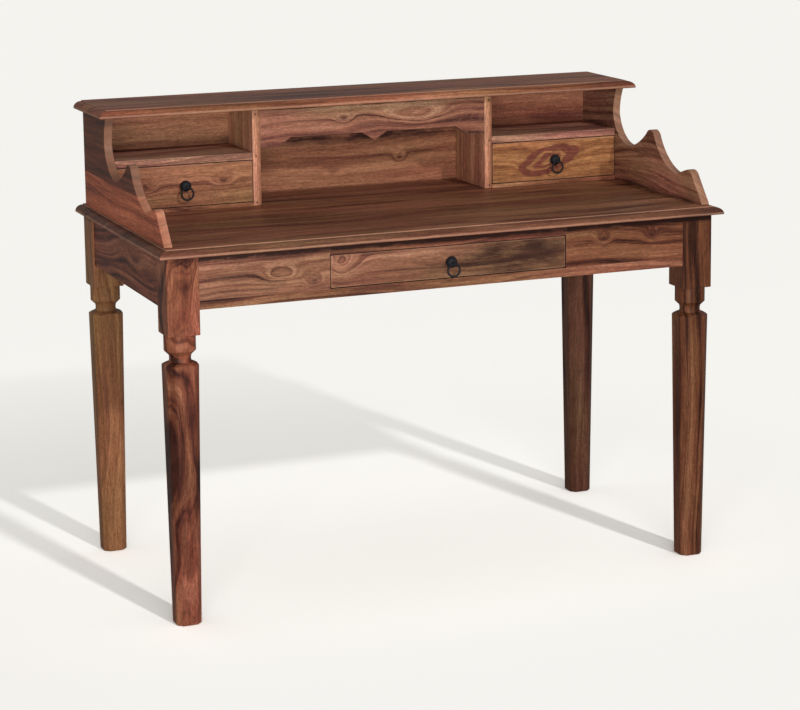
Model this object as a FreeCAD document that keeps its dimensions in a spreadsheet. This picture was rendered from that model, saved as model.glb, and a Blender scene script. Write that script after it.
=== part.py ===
import FreeCAD, Part
import math
import os
import re
import Sketcher

# A solid-wood computer desk: a moulded top on four turned and faceted legs, one
# drawer in the front apron, and a low hutch with two small drawers, two
# pigeonholes and scalloped gallery sides. Every board and leg, and each piece of a
# drawer and of its pull, is its own solid.
# Frame: X to the right as one sits at the desk, Y to the back, Z up; the origin
# is on the floor under the middle of the top. Lengths are in millimetres.

SIZES = (
    # The desktop and the moulding that runs along its front and both ends
    ("desk_width", 1200, "top, tip to tip of the moulding"),
    ("desk_depth", 620, "top, front tip to back edge"),
    ("desk_height", 744, "floor to writing surface"),
    ("top_thickness", 16, "desktop and hutch top"),
    ("side_overhang", 18, "top past the legs at each end"),
    ("front_overhang", 22, "top past the front legs"),
    ("moulding_nose", 3.5, "upright edge below the thumbnail curve"),
    ("moulding_run", 16, "reach of the thumbnail curve across the edge"),
    ("moulding_quirk", 2.2, "small step above the curve"),
    # Legs, from the block down
    ("leg_block_size", 64, "square of the block under the top"),
    ("leg_block_length", 154, "height of the block"),
    ("collar_diameter", 62, "turned collar under the block"),
    ("collar_length", 31, "straight part of the collar"),
    ("collar_bevel", 7, "bevel under the collar, across"),
    ("collar_bevel_drop", 7, "bevel under the collar, down"),
    ("neck_crease", 1, "small step in from bevel to neck"),
    ("neck_diameter", 42, "thinnest place of the neck"),
    ("neck_drop", 47, "block to the thinnest place"),
    ("neck_foot_diameter", 44.5, "neck where the shoulder starts"),
    ("neck_foot_drop", 53.5, "block to the start of the shoulder"),
    ("shoulder_drop", 61, "block to the rim, at the shaft's corners"),
    ("shaft_head", 66, "octagon across flats, level with the block's foot"),
    ("shaft_foot", 50, "octagon across flats on the floor"),
    ("foot_chamfer", 2, "eased edge at the floor"),
    # Aprons, the drawer opening in the front one, and what holds the legs
    ("apron_height", 106, "all four aprons"),
    ("apron_thickness", 20, "all four aprons"),
    ("apron_recess", 3.5, "apron face behind the leg face"),
    ("drawer_opening_width", 505, "opening in the front apron"),
    ("drawer_opening_height", 67, "opening in the front apron"),
    ("drawer_rail_height", 18, "strip of apron below the opening"),
    ("tenon_thickness", 8, "all tenons"),
    ("tenon_length", 30, "apron tenon inside the leg"),
    ("tenon_shoulder", 14, "apron above and below its tenon"),
    ("joint_play", 0.1, "mortise past its tenon, on each side"),
    ("brace_thickness", 22, "diagonal corner brace"),
    ("brace_height", 45, "diagonal corner brace"),
    ("brace_gap", 0.4, "brace to the leg's inner edge"),
    # Running gear of the centre drawer
    ("runner_width", 28, "ledge under the drawer side"),
    ("guide_thickness", 15, "upright beside the drawer"),
    ("guide_height", 34, "upright above the ledge"),
    ("kicker_width", 26, "rail above the drawer side"),
    ("stop_length", 16, "block behind the drawer"),
    ("stop_height", 12, "block behind the drawer"),
    ("stop_gap", 0.3, "closed drawer to its stop"),
    # Hutch
    ("hutch_rise", 203, "writing surface to hutch top"),
    ("hutch_depth", 170, "divider front to carcass back"),
    ("hutch_set_in", 20, "carcass back to the desktop's back edge"),
    ("hutch_lip_front", 31.5, "hutch top past the dividers"),
    ("hutch_lip_back", 6, "hutch top past the carcass back"),
    ("gallery_run", 400, "scalloped side forward of the dividers"),
    ("side_panel_thickness", 17, "scalloped side"),
    ("divider_thickness", 17, "upright between bays"),
    ("centre_bay_width", 506, "between the dividers"),
    ("back_panel_thickness", 10, "hutch back"),
    ("shelf_thickness", 15, "shelf over a small drawer"),
    ("shelf_rise", 97, "writing surface to the shelf's underside"),
    ("bay_floor_thickness", 8, "board a small drawer runs on"),
    ("valance_thickness", 15, "shaped board over the centre bay"),
    ("valance_height", 82, "at its ends and its middle point"),
    ("valance_rise", 18, "lower edge between ends and point"),
    ("stub_height", 9, "tenon of an upright inside desktop or hutch top"),
    ("stub_run", 70, "tenon of an upright, front to back"),
    ("housing_depth", 5, "shelf end inside divider and side"),
    ("housing_stop", 12, "front of a shelf that isn't housed"),
    # Drawers
    ("drawer_gap", 1.5, "round each drawer front"),
    ("running_gap", 0.3, "drawer side above what it runs on"),
    ("drawer_front_thickness", 16, "all drawers"),
    ("drawer_side_thickness", 10, "sides and back"),
    ("drawer_bottom_thickness", 4, "plywood bottom"),
    ("drawer_groove_depth", 5, "groove that holds the bottom"),
    ("drawer_groove_rise", 6, "side's lower edge to the groove"),
    ("drawer_groove_play", 0.2, "groove wider and deeper than the bottom"),
    ("drawer_side_drop", 6, "small drawer's side below its front's top"),
    ("centre_drawer_length", 400, "front face to back face"),
    # Ring pulls
    ("knob_diameter", 23, "round body of a pull"),
    ("knob_height", 14, "pull's body in front of the drawer"),
    ("eye_diameter", 8.8, "eye that carries the ring"),
    ("eye_thickness", 4, "eye that carries the ring"),
    ("eye_reach", 17, "drawer face to the hole in the eye"),
    ("eye_drop", 2, "pull's centre to the hole in the eye"),
    ("ring_diameter", 29, "ring, outside"),
    ("ring_wire", 3.8, "wire of the ring"),
    ("ring_play", 0.35, "eye's hole past the wire, on the radius"),
    ("stem_diameter", 5, "threaded stem through the drawer front"),
    ("stem_tail", 7, "stem behind the drawer front"),
    ("stem_play", 0.05, "nut on stem, on the radius"),
    ("stem_clearance", 0.3, "hole in the drawer front round the stem, on the radius"),
    ("pull_nut_flats", 8, "nut behind the drawer front"),
    ("pull_nut_height", 4, "nut behind the drawer front"),
    # One overrun serves every cut
    ("overrun", 5, "how far a cut starts outside the wood"),
)

# Scalloped edge of a gallery side, from the hutch top down to its foot. The
# first of each pair is a share of gallery_run forward of the dividers, the
# second a share of hutch_rise. Each row is an arc: a point on it and its end.
gallery_start_share = 0.02
gallery_arc_shares = (
    ((-0.010, 0.872), (-0.024, 0.719)),
    ((0.0325, 0.517), (0.190, 0.409)),
    ((0.285, 0.478), (0.370, 0.589)),
    ((0.4175, 0.634), (0.465, 0.562)),
    ((0.5675, 0.352), (0.715, 0.246)),
    ((0.775, 0.291), (0.830, 0.323)),
    ((0.865, 0.310), (0.890, 0.261)),
)
# Point on the thumbnail curve, as shares of its run and of its rise
thumbnail_shares = (0.28, 0.68)
# Point on the shoulder of a leg, as shares of its width and of its drop
shoulder_shares = (0.58, 0.45)
# Knob from its base to its nose, as shares of its height and of its diameter
knob_shares = ((0, 0.80), (0.16, 0.95), (0.40, 1.0), (0.65, 0.93), (0.86, 0.72), (1, 0.40))
# Corners of the valance's lower edge, as shares of half the centre bay
valance_shares = (0.838, 0.735, 0.11)
# Where the tenons of an upright start, as shares of its depth
gallery_tenon_shares = (0.12, 0.45, 0.78)
upright_tenon_share = 0.28
# Sides of the small round metal pieces, flat at the top and the bottom
round_sides = 22
wire_sides = 10
stem_sides = 12
# A shaft's wide flats over its width across them; its corner flats are narrower
flat_share = 0.58
# A shaft's width across opposite corners over its width across flats
corner_share = math.hypot(1, flat_share)
# Corner radius over the width across flats of the nut
hexagon_share = 1 / math.sqrt(3)
# Corner radius over the flat's radius of a small round piece
round_corner_share = 1 / math.cos(math.pi / round_sides)
# Two points nearer than this are the same point
closeness = 1e-4
# Length of a diagonal over its run along one axis
diagonal_share = math.sqrt(2)

doc = FreeCAD.newDocument("computer_desk")
sheet = doc.addObject("Spreadsheet::Sheet", "Sizes")
pieces = []
cuts = []


def fill_sheet():
    """Write each size to its own row: its name, its value and what it measures."""
    for row, (alias, number, meaning) in enumerate(SIZES, start=1):
        sheet.set(f"A{row}", alias)
        sheet.set(f"B{row}", str(number))
        sheet.set(f"C{row}", meaning)
        sheet.setAlias(f"B{row}", alias)
    doc.recompute()


def bound(text):
    """Point each name in a formula at its cell."""
    return re.sub(r"[a-z][a-z_]*", lambda name: "Sizes." + name.group(0), text)


def measure(text):
    """Present value of a formula of named sizes."""
    return float(sheet.evalExpression(bound(text)))


def bind(thing, **formulas):
    """Bind properties to the sheet, each by a formula of named sizes."""
    for name, text in formulas.items():
        thing.setExpression(name, bound(text))


def place(thing, x="0", y="0", z="0"):
    """Bind an object's place to the sheet."""
    for axis, text in zip("xyz", (x, y, z)):
        if text != "0":
            thing.setExpression("Placement.Base." + axis, bound(text))


def new_body(label, x="0", y="0", z="0"):
    """Start a sub-part with its own origin."""
    body = doc.addObject("PartDesign::Body", label)
    body.Label = label
    place(body, x, y, z)
    pieces.append(body)
    return body


def new_sketch(body, name, plane_role, offset="0"):
    """Attach an empty sketch to one of the body's own origin planes."""
    sketch = body.newObject("Sketcher::SketchObject", name)
    plane = next(item for item in body.Origin.OriginFeatures if item.Role == plane_role)
    sketch.AttachmentSupport = [(plane, "")]
    sketch.MapMode = "FlatFace"
    if offset != "0":
        sketch.setExpression("AttachmentOffset.Base.z", bound(offset))
    return sketch


def hold(sketch, element, end, point):
    """Tie one end of a sketch element to its place, given in named sizes."""
    rules = (("DistanceX", -2, point[0]), ("DistanceY", -1, point[1]))
    for kind, axis, text in rules:
        if text == "0":
            sketch.addConstraint(Sketcher.Constraint("PointOnObject", element, end, axis))
            continue
        rule = Sketcher.Constraint(kind, -1, 1, element, end, measure(text))
        number = sketch.addConstraint(rule)
        sketch.setExpression(f"Constraints[{number}]", bound(text))


def draw(sketch, start, *steps):
    """Draw one closed loop of lines and arcs.

    A step is a corner, or for an arc a pair: a point on it and its end. A line
    closes the loop, and every corner and arc point is held by the sheet.
    """
    loop = [step if isinstance(step[0], tuple) else (None, step) for step in steps]
    if loop[-1][1] != start:
        loop.append((None, start))
    joints = []
    here = start
    for middle, there in loop:
        corners = [FreeCAD.Vector(measure(p[0]), measure(p[1]), 0) for p in (here, there)]
        if middle is None:
            element = sketch.addGeometry(Part.LineSegment(*corners), False)
            order = (1, 2)
        else:
            on_arc = FreeCAD.Vector(measure(middle[0]), measure(middle[1]), 0)
            element = sketch.addGeometry(Part.Arc(corners[0], on_arc, corners[1]), False)
            forward = sketch.getPoint(element, 1).isEqual(corners[0], closeness)
            order = (1, 2) if forward else (2, 1)
        joints.append((element, order, middle, here))
        here = there
    for (element, order, _, _), (after, after_order, _, _) in zip(joints, joints[1:] + joints[:1]):
        rule = Sketcher.Constraint("Coincident", element, order[1], after, after_order[0])
        sketch.addConstraint(rule)
    for element, order, middle, corner in joints:
        hold(sketch, element, order[0], corner)
        if middle is not None:
            point = Part.Point(FreeCAD.Vector(measure(middle[0]), measure(middle[1]), 0))
            mark = sketch.addGeometry(point, True)
            hold(sketch, mark, 1, middle)
            sketch.addConstraint(Sketcher.Constraint("PointOnObject", mark, 1, element))


def rectangle(sketch, low, high):
    """Draw an upright rectangle between two corners."""
    draw(sketch, low, (high[0], low[1]), high, (low[0], high[1]))


def pad(body, sketch, length, backward=False):
    """Thicken a sketch into wood."""
    feature = body.newObject("PartDesign::Pad", "Pad")
    feature.Profile = sketch
    feature.Reversed = backward
    bind(feature, Length=length)
    return feature


def board(label, low, size):
    """A plain board from its lowest corner and its size along X, Y and Z."""
    body = new_body(label, *low)
    sketch = new_sketch(body, "Face", "XY_Plane")
    rectangle(sketch, ("0", "0"), (size[0], size[1]))
    pad(body, sketch, size[2])
    return body


def add_box(body, name, low, size, kind="Additive"):
    """Add a square-sided tongue, tenon or block, placed in the body's own frame."""
    box = body.newObject(f"PartDesign::{kind}Box", name)
    box.MapMode = "Deactivated"
    bind(box, Length=size[0], Width=size[1], Height=size[2])
    place(box, *low)
    return box


def cut_box(body, name, low, size):
    """Cut a square-sided groove or mortise, placed in the body's own frame."""
    cuts.append(add_box(body, name, low, size, "Subtractive"))


def turned(thing, direction):
    """Turn an object so that its own Z axis points along a direction."""
    thing.Placement = FreeCAD.Placement(
        FreeCAD.Vector(), FreeCAD.Rotation(FreeCAD.Vector(0, 0, 1), FreeCAD.Vector(*direction)))


def drill(body, start, direction, radius, depth):
    """Drill a round hole from a point along a direction, in the body's own frame."""
    tool = body.newObject("PartDesign::SubtractiveCylinder", "Hole")
    tool.MapMode = "Deactivated"
    turned(tool, direction)
    bind(tool, Radius=radius, Height=depth)
    place(tool, *start)
    cuts.append(tool)


def prism(name, start, direction, radius, length, sides):
    """A loose prism with its foot at a point, along a direction."""
    thing = doc.addObject("Part::Prism", name)
    thing.Polygon = sides
    turned(thing, direction)
    bind(thing, Circumradius=radius, Height=length)
    place(thing, *start)
    return thing


def polygon(name, start, direction, radius, sides):
    """A loose flat polygon about a point, square to a direction."""
    thing = doc.addObject("Part::RegularPolygon", name)
    thing.Polygon = sides
    turned(thing, direction)
    bind(thing, Circumradius=radius)
    place(thing, *start)
    return thing


# Levels and faces that more than one piece is measured from
SIDES = (("left", -1), ("right", 1))
TOP_UNDER = "(desk_height - top_thickness)"
APRON_LOW = f"({TOP_UNDER} - apron_height)"
LEG_X = "(desk_width / 2 - side_overhang - leg_block_size / 2)"
LEG_Y = {"front": "(front_overhang + leg_block_size / 2 - desk_depth / 2)",
         "back": "(desk_depth / 2 - leg_block_size / 2)"}
APRON_FACE = "(front_overhang + apron_recess - desk_depth / 2)"
APRON_INNER = {"front": f"({APRON_FACE} + apron_thickness)",
               "back": "(desk_depth / 2 - apron_recess - apron_thickness)"}
FRAME_INNER_X = "(desk_width / 2 - side_overhang - apron_recess - apron_thickness)"
LEG_PROUD = "(leg_block_size - apron_recess - apron_thickness)"
BRACE_NEAR = f"(2 * {LEG_PROUD} + brace_gap)"
BRACE_FAR = f"({BRACE_NEAR} + brace_thickness * {diagonal_share})"
OPENING_LOW = f"({APRON_LOW} + drawer_rail_height)"
HUTCH_BACK = "(desk_depth / 2 - hutch_set_in)"
HUTCH_FRONT = f"({HUTCH_BACK} - hutch_depth)"
PANEL_OUTER = "(desk_width / 2 - side_overhang)"
PANEL_INNER = f"({PANEL_OUTER} - side_panel_thickness)"
DIVIDER_OUTER = "(centre_bay_width / 2 + divider_thickness)"
SIDE_BAY = f"({PANEL_INNER} - {DIVIDER_OUTER})"
BAY_DEPTH = "(hutch_depth - back_panel_thickness)"


def moulded_board(label, back, depth, level):
    """A top with the thumbnail moulding along its front and both ends.

    The front moulding belongs to the section that is padded along X. The end
    mouldings are cut by the same curve along Y, so they meet it in mitres.
    """
    body = new_body(label, y=back, z=level)
    rise = "(top_thickness - moulding_quirk - moulding_nose)"
    section = new_sketch(body, "Section", "YZ_Plane", "-desk_width / 2")
    curve_point = (f"{thumbnail_shares[0]} * moulding_run - {depth}",
                   f"moulding_nose + {thumbnail_shares[1]} * {rise}")
    draw(section, ("0", "0"), (f"-{depth}", "0"), (f"-{depth}", "moulding_nose"),
         (curve_point, (f"moulding_run - {depth}", "top_thickness - moulding_quirk")),
         (f"moulding_run - {depth}", "top_thickness"), ("0", "top_thickness"))
    pad(body, section, "desk_width")
    ends = new_sketch(body, "Ends", "XZ_Plane")
    for _, side in SIDES:
        tip = f"{side} * desk_width / 2"
        step = f"{side} * (desk_width / 2 - moulding_run)"
        out = f"{side} * (desk_width / 2 + overrun)"
        curve_point = (f"{side} * (desk_width / 2 - {thumbnail_shares[0]} * moulding_run)",
                       f"moulding_nose + {thumbnail_shares[1]} * {rise}")
        draw(ends, (tip, "moulding_nose"), (curve_point, (step, "top_thickness - moulding_quirk")),
             (step, "top_thickness + overrun"), (out, "top_thickness + overrun"), (out, "moulding_nose"))
    pocket = body.newObject("PartDesign::Pocket", "EndMouldings")
    pocket.Profile = ends
    pocket.Type = "ThroughAll"
    pocket.Midplane = True
    cuts.append(pocket)
    return body


def leg(row, side_name, side):
    """A leg: square block, turned collar and neck, and a tapering octagonal shaft."""
    body = new_body(f"leg_{row}_{side_name}", f"{side} * {LEG_X}", LEG_Y[row])
    block_low = f"({TOP_UNDER} - leg_block_length)"
    octagons = []
    for name, flats, level in (("Foot", "shaft_foot", "0"), ("Head", "shaft_head", block_low)):
        sketch = new_sketch(body, name, "XY_Plane", level)
        far = f"{flats} / 2"
        near = f"{flats} / 2 * {flat_share}"
        draw(sketch, (far, f"-{near}"), (far, near), (near, far), (f"-{near}", far), (f"-{far}", near),
             (f"-{far}", f"-{near}"), (f"-{near}", f"-{far}"), (near, f"-{far}"))
        octagons.append(sketch)
    shaft = body.newObject("PartDesign::AdditiveLoft", "Shaft")
    shaft.Profile = octagons[0]
    shaft.Sections = [octagons[1]]
    shaft.Ruled = True
    square = new_sketch(body, "Square", "XY_Plane", block_low)
    half = "leg_block_size / 2"
    rectangle(square, (f"-{half}", f"-{half}"), (half, half))
    pad(body, square, "leg_block_length")
    turning = new_sketch(body, "Turning", "XZ_Plane")
    outside = f"shaft_head / 2 * {corner_share} + overrun"
    bevel_foot = "collar_diameter / 2 - collar_bevel"
    bevel_level = f"{block_low} - collar_length - collar_bevel_drop"
    neck_foot = "neck_foot_diameter / 2"
    shoulder_width = f"(shaft_head * {corner_share} - neck_foot_diameter) / 2"
    shoulder_fall = "(shoulder_drop - neck_foot_drop)"
    draw(turning, (outside, block_low), ("collar_diameter / 2", block_low),
         ("collar_diameter / 2", f"{block_low} - collar_length"), (bevel_foot, bevel_level),
         (f"{bevel_foot} - neck_crease", bevel_level),
         (("neck_diameter / 2", f"{block_low} - neck_drop"), (neck_foot, f"{block_low} - neck_foot_drop")),
         ((f"{neck_foot} + {shoulder_shares[0]} * ({shoulder_width})",
           f"{block_low} - neck_foot_drop - {shoulder_shares[1]} * {shoulder_fall}"),
          (f"{neck_foot} + {shoulder_width}", f"{block_low} - shoulder_drop")),
         (outside, f"{block_low} - shoulder_drop"))
    groove = body.newObject("PartDesign::Groove", "Turned")
    groove.Profile = turning
    groove.ReferenceAxis = (turning, ["V_Axis"])
    groove.Angle = 360
    cuts.append(groove)
    inner = (-side, 1 if row == "front" else -1)
    across = "(tenon_thickness + 2 * joint_play)"
    deep = "tenon_length + joint_play + overrun"
    margin = "(apron_recess + (apron_thickness - tenon_thickness) / 2 - joint_play)"
    low = f"{APRON_LOW} + tenon_shoulder - joint_play"
    high = "apron_height - 2 * tenon_shoulder + 2 * joint_play"
    ends = [f"{half} - tenon_length - joint_play" if way > 0 else f"-{half} - overrun" for way in inner]
    walls = [f"{margin} - {half}" if way > 0 else f"{half} - {margin} - {across}" for way in inner]
    cut_box(body, "MortiseAcross", (ends[0], walls[1], low), (deep, across, high))
    cut_box(body, "MortiseAlong", (walls[0], ends[1], low), (across, deep, high))
    doc.recompute()
    edges = [f"Edge{number}" for number, edge in enumerate(body.Shape.Edges, start=1)
             if abs(edge.BoundBox.ZMax) < closeness]
    drilled = body.Tip
    chamfer = body.newObject("PartDesign::Chamfer", "EasedFoot")
    chamfer.Base = (drilled, edges)
    bind(chamfer, Size="foot_chamfer")


def aprons():
    """Front apron with its drawer opening, plain back apron, and the two end aprons."""
    length = "(desk_width - 2 * side_overhang - 2 * leg_block_size)"
    inset = "(apron_thickness - tenon_thickness) / 2"
    tenon_height = "apron_height - 2 * tenon_shoulder"
    front = new_body("apron_front", f"-{length} / 2", APRON_FACE, APRON_LOW)
    face = new_sketch(front, "Face", "XZ_Plane")
    rectangle(face, ("0", "0"), (length, "apron_height"))
    rectangle(face, (f"({length} - drawer_opening_width) / 2", "drawer_rail_height"),
              (f"({length} + drawer_opening_width) / 2", "drawer_rail_height + drawer_opening_height"))
    pad(front, face, "apron_thickness", backward=True)
    back = board("apron_back", (f"-{length} / 2", APRON_INNER["back"], APRON_LOW),
                 (length, "apron_thickness", "apron_height"))
    for rail in (front, back):
        for low_x in ("-tenon_length", length):
            add_box(rail, "Tenon", (low_x, inset, "tenon_shoulder"),
                    ("tenon_length", "tenon_thickness", tenon_height))
    inner_low = f"({LEG_Y['front']} + leg_block_size / 2)"
    inner_high = f"({LEG_Y['back']} - leg_block_size / 2)"
    for side_name, side in SIDES:
        low_x = f"-{FRAME_INNER_X} - apron_thickness" if side < 0 else FRAME_INNER_X
        rail = board(f"apron_{side_name}", (low_x, inner_low, APRON_LOW),
                     ("apron_thickness", f"{inner_high} - {inner_low}", "apron_height"))
        for low_y in ("-tenon_length", f"{inner_high} - {inner_low}"):
            add_box(rail, "Tenon", (inset, low_y, "tenon_shoulder"),
                    ("tenon_thickness", "tenon_length", tenon_height))


def corner_braces():
    """Diagonal braces that lock each pair of aprons behind its leg."""
    for row, forward in (("front", 1), ("back", -1)):
        for side_name, side in SIDES:
            body = new_body(f"corner_brace_{row}_{side_name}", f"{side} * {FRAME_INNER_X}",
                            APRON_INNER[row], f"({TOP_UNDER} - brace_height)")
            plan = new_sketch(body, "Plan", "XY_Plane")
            draw(plan, (f"{-side} * {BRACE_NEAR}", "0"), (f"{-side} * {BRACE_FAR}", "0"),
                 ("0", f"{forward} * {BRACE_FAR}"), ("0", f"{forward} * {BRACE_NEAR}"))
            pad(body, plan, "brace_height")


def running_gear():
    """Runner with guide and stop under each side of the centre drawer, and a kicker above."""
    length = f"({APRON_INNER['back']} - {APRON_INNER['front']})"
    half = "drawer_opening_width / 2"
    for side_name, side in SIDES:
        runner = new_body(f"drawer_runner_{side_name}", y=APRON_INNER["front"], z=APRON_LOW)
        section = new_sketch(runner, "Section", "XZ_Plane")
        ledge = f"{side} * ({half} - runner_width)"
        wall = f"{side} * {half}"
        outer = f"{side} * ({half} + guide_thickness)"
        draw(section, (ledge, "0"), (outer, "0"), (outer, "drawer_rail_height + guide_height"),
             (wall, "drawer_rail_height + guide_height"), (wall, "drawer_rail_height"),
             (ledge, "drawer_rail_height"))
        pad(runner, section, length, backward=True)
        behind = f"{APRON_FACE} + centre_drawer_length + stop_gap - {APRON_INNER['front']}"
        add_box(runner, "Stop", (ledge if side > 0 else wall, behind, "drawer_rail_height"),
                ("runner_width", "stop_length", "stop_height"))
        kicker_low = f"({OPENING_LOW} + drawer_opening_height)"
        low_x = f"{half} - kicker_width" if side > 0 else f"-{half}"
        board(f"drawer_kicker_{side_name}", (low_x, APRON_INNER["front"], kicker_low),
              ("kicker_width", length, f"{TOP_UNDER} - {kicker_low}"))


def gallery_side(side_name, side):
    """A scalloped side: end of the hutch and gallery of the writing surface in one board."""
    low_x = PANEL_INNER if side > 0 else f"-{PANEL_OUTER}"
    body = new_body(f"side_panel_{side_name}", low_x, HUTCH_FRONT, "desk_height")
    outline = new_sketch(body, "Outline", "YZ_Plane")
    steps = [("hutch_depth", "hutch_rise"), (f"-gallery_run * {gallery_start_share}", "hutch_rise")]
    for arc in gallery_arc_shares:
        steps.append(tuple((f"-gallery_run * ({run})", f"hutch_rise * {rise}") for run, rise in arc))
    steps.append(("-gallery_run", "0"))
    draw(outline, ("hutch_depth", "0"), *steps)
    pad(body, outline, "side_panel_thickness")
    return body


def valance():
    """Shaped board over the centre bay, with a point in the middle of its lower edge."""
    body = new_body("valance", y=HUTCH_FRONT, z="desk_height + hutch_rise - valance_height")
    face = new_sketch(body, "Face", "XZ_Plane")
    half = "centre_bay_width / 2"
    step, slope, point = (f"{share} * {half}" for share in valance_shares)
    draw(face, (f"-{half}", "0"), (f"-{step}", "0"), (f"-{slope}", "valance_rise"),
         (f"-{point}", "valance_rise"), ("0", "0"), (point, "valance_rise"),
         (slope, "valance_rise"), (step, "0"), (half, "0"),
         (half, "valance_height"), (f"-{half}", "valance_height"))
    pad(body, face, "valance_thickness", backward=True)


def stub_tenon(upright, x, thickness, start, cover, cover_x, cover_back, high=False):
    """Tenon on an upright's foot or head, and its mortise in the board below or above."""
    inset = f"({thickness} - tenon_thickness) / 2"
    level = "hutch_rise" if high else "-stub_height"
    add_box(upright, "Tenon", (inset, start, level), ("tenon_thickness", "stub_run", "stub_height"))
    mouth = "-overrun" if high else "top_thickness - stub_height - joint_play"
    cut_box(cover, "Mortise", (f"{x} + {inset} - joint_play - ({cover_x})",
                               f"{start} - joint_play - ({cover_back})", mouth),
            ("tenon_thickness + 2 * joint_play", "stub_run + 2 * joint_play",
             "stub_height + joint_play + overrun"))


def hutch():
    """Sides, dividers, shelves, bay floors, valance and back of the hutch."""
    valance()
    board("hutch_back", (f"-{PANEL_INNER}", f"{HUTCH_BACK} - back_panel_thickness", "desk_height"),
          (f"2 * {PANEL_INNER}", "back_panel_thickness", "hutch_rise"))
    below = (desktop, "0", "hutch_depth + hutch_set_in")
    above = (hutch_top, "0", "hutch_depth + hutch_lip_back", True)
    for side_name, side in SIDES:
        panel = gallery_side(side_name, side)
        panel_x = PANEL_INNER if side > 0 else f"-{PANEL_OUTER}"
        divider_x = "centre_bay_width / 2" if side > 0 else f"-{DIVIDER_OUTER}"
        divider = board(f"divider_{side_name}", (divider_x, HUTCH_FRONT, "desk_height"),
                        ("divider_thickness", BAY_DEPTH, "hutch_rise"))
        for share in gallery_tenon_shares:
            start = f"{share} * (gallery_run + hutch_depth) - gallery_run"
            stub_tenon(panel, panel_x, "side_panel_thickness", start, *below)
        start = f"{upright_tenon_share} * {BAY_DEPTH}"
        stub_tenon(panel, panel_x, "side_panel_thickness", start, *above)
        stub_tenon(divider, divider_x, "divider_thickness", start, *below)
        stub_tenon(divider, divider_x, "divider_thickness", start, *above)
        bay_x = DIVIDER_OUTER if side > 0 else f"-{PANEL_INNER}"
        shelf = board(f"shelf_{side_name}", (bay_x, HUTCH_FRONT, "desk_height + shelf_rise"),
                      (SIDE_BAY, BAY_DEPTH, "shelf_thickness"))
        for low_x in ("-housing_depth", SIDE_BAY):
            add_box(shelf, "Tongue", (low_x, "housing_stop", "0"),
                    ("housing_depth", f"{BAY_DEPTH} - housing_stop", "shelf_thickness"))
        for wood, thickness, way in ((panel, "side_panel_thickness", -side),
                                     (divider, "divider_thickness", side)):
            wall_x = f"{thickness} - housing_depth - joint_play" if way > 0 else "-overrun"
            cut_box(wood, "Housing", (wall_x, "housing_stop - joint_play", "shelf_rise - joint_play"),
                    ("housing_depth + joint_play + overrun", f"{BAY_DEPTH} - housing_stop + joint_play",
                     "shelf_thickness + 2 * joint_play"))
        board(f"bay_floor_{side_name}", (bay_x, HUTCH_FRONT, "desk_height"),
              (SIDE_BAY, BAY_DEPTH, "bay_floor_thickness"))


def drawer(name, low_x, width, face, length, front_low, front_height, side_low, side_height):
    """One drawer: front, two sides, back and a bottom that slides into grooves."""
    side_start = f"({face} + drawer_front_thickness)"
    side_length = f"({length} - drawer_front_thickness)"
    groove_low = f"({side_low} + drawer_groove_rise)"
    groove_height = "drawer_bottom_thickness + drawer_groove_play"
    front = board(f"drawer_front_{name}", (low_x, face, front_low),
                  (width, "drawer_front_thickness", front_height))
    inset = "drawer_side_thickness - drawer_groove_depth"
    groove_face = "drawer_front_thickness - drawer_groove_depth"
    cut_box(front, "Groove", (inset, groove_face, f"{groove_low} - {front_low}"),
            (f"{width} - 2 * ({inset})", "drawer_groove_depth + overrun", groove_height))
    drill(front, (f"{width} / 2", "-overrun", f"{front_height} / 2"), (0, 1, 0),
          "stem_diameter / 2 + stem_clearance", "drawer_front_thickness + 2 * overrun")
    for side_name, side in SIDES:
        side_x = low_x if side < 0 else f"{low_x} + {width} - drawer_side_thickness"
        wood = board(f"drawer_side_{name}_{side_name}", (side_x, side_start, side_low),
                     ("drawer_side_thickness", side_length, side_height))
        groove_x = "drawer_side_thickness - drawer_groove_depth" if side < 0 else "-overrun"
        cut_box(wood, "Groove", (groove_x, "-overrun", "drawer_groove_rise"),
                ("drawer_groove_depth + overrun", f"{side_length} + 2 * overrun", groove_height))
    rear = "drawer_groove_rise + drawer_bottom_thickness + drawer_groove_play"
    board(f"drawer_back_{name}",
          (f"{low_x} + drawer_side_thickness", f"{face} + {length} - drawer_side_thickness",
           f"{side_low} + {rear}"),
          (f"{width} - 2 * drawer_side_thickness", "drawer_side_thickness", f"{side_height} - ({rear})"))
    tongue = "(drawer_groove_depth - drawer_groove_play)"
    board(f"drawer_bottom_{name}",
          (f"{low_x} + drawer_side_thickness - {tongue}", f"{side_start} - {tongue}", groove_low),
          (f"{width} - 2 * drawer_side_thickness + 2 * {tongue}", f"{side_length} + {tongue}",
           "drawer_bottom_thickness"))
    pull(name, f"{low_x} + {width} / 2", face, f"{front_low} + {front_height} / 2")


def facet_sweep(name, section, path, direction):
    """Carry a flat section round a regular polygon, with mitred corners."""
    start, radius, sides = path
    spine = polygon("Path", start, direction, f"{radius} * {round_corner_share}", sides)
    doc.recompute()
    sweep = doc.addObject("Part::Sweep", name)
    sweep.Sections = [section]
    sweep.Spine = (spine, [f"Edge{number + 1}" for number in range(sides)])
    sweep.Solid = True
    sweep.Transition = "Right corner"
    return sweep


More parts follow.
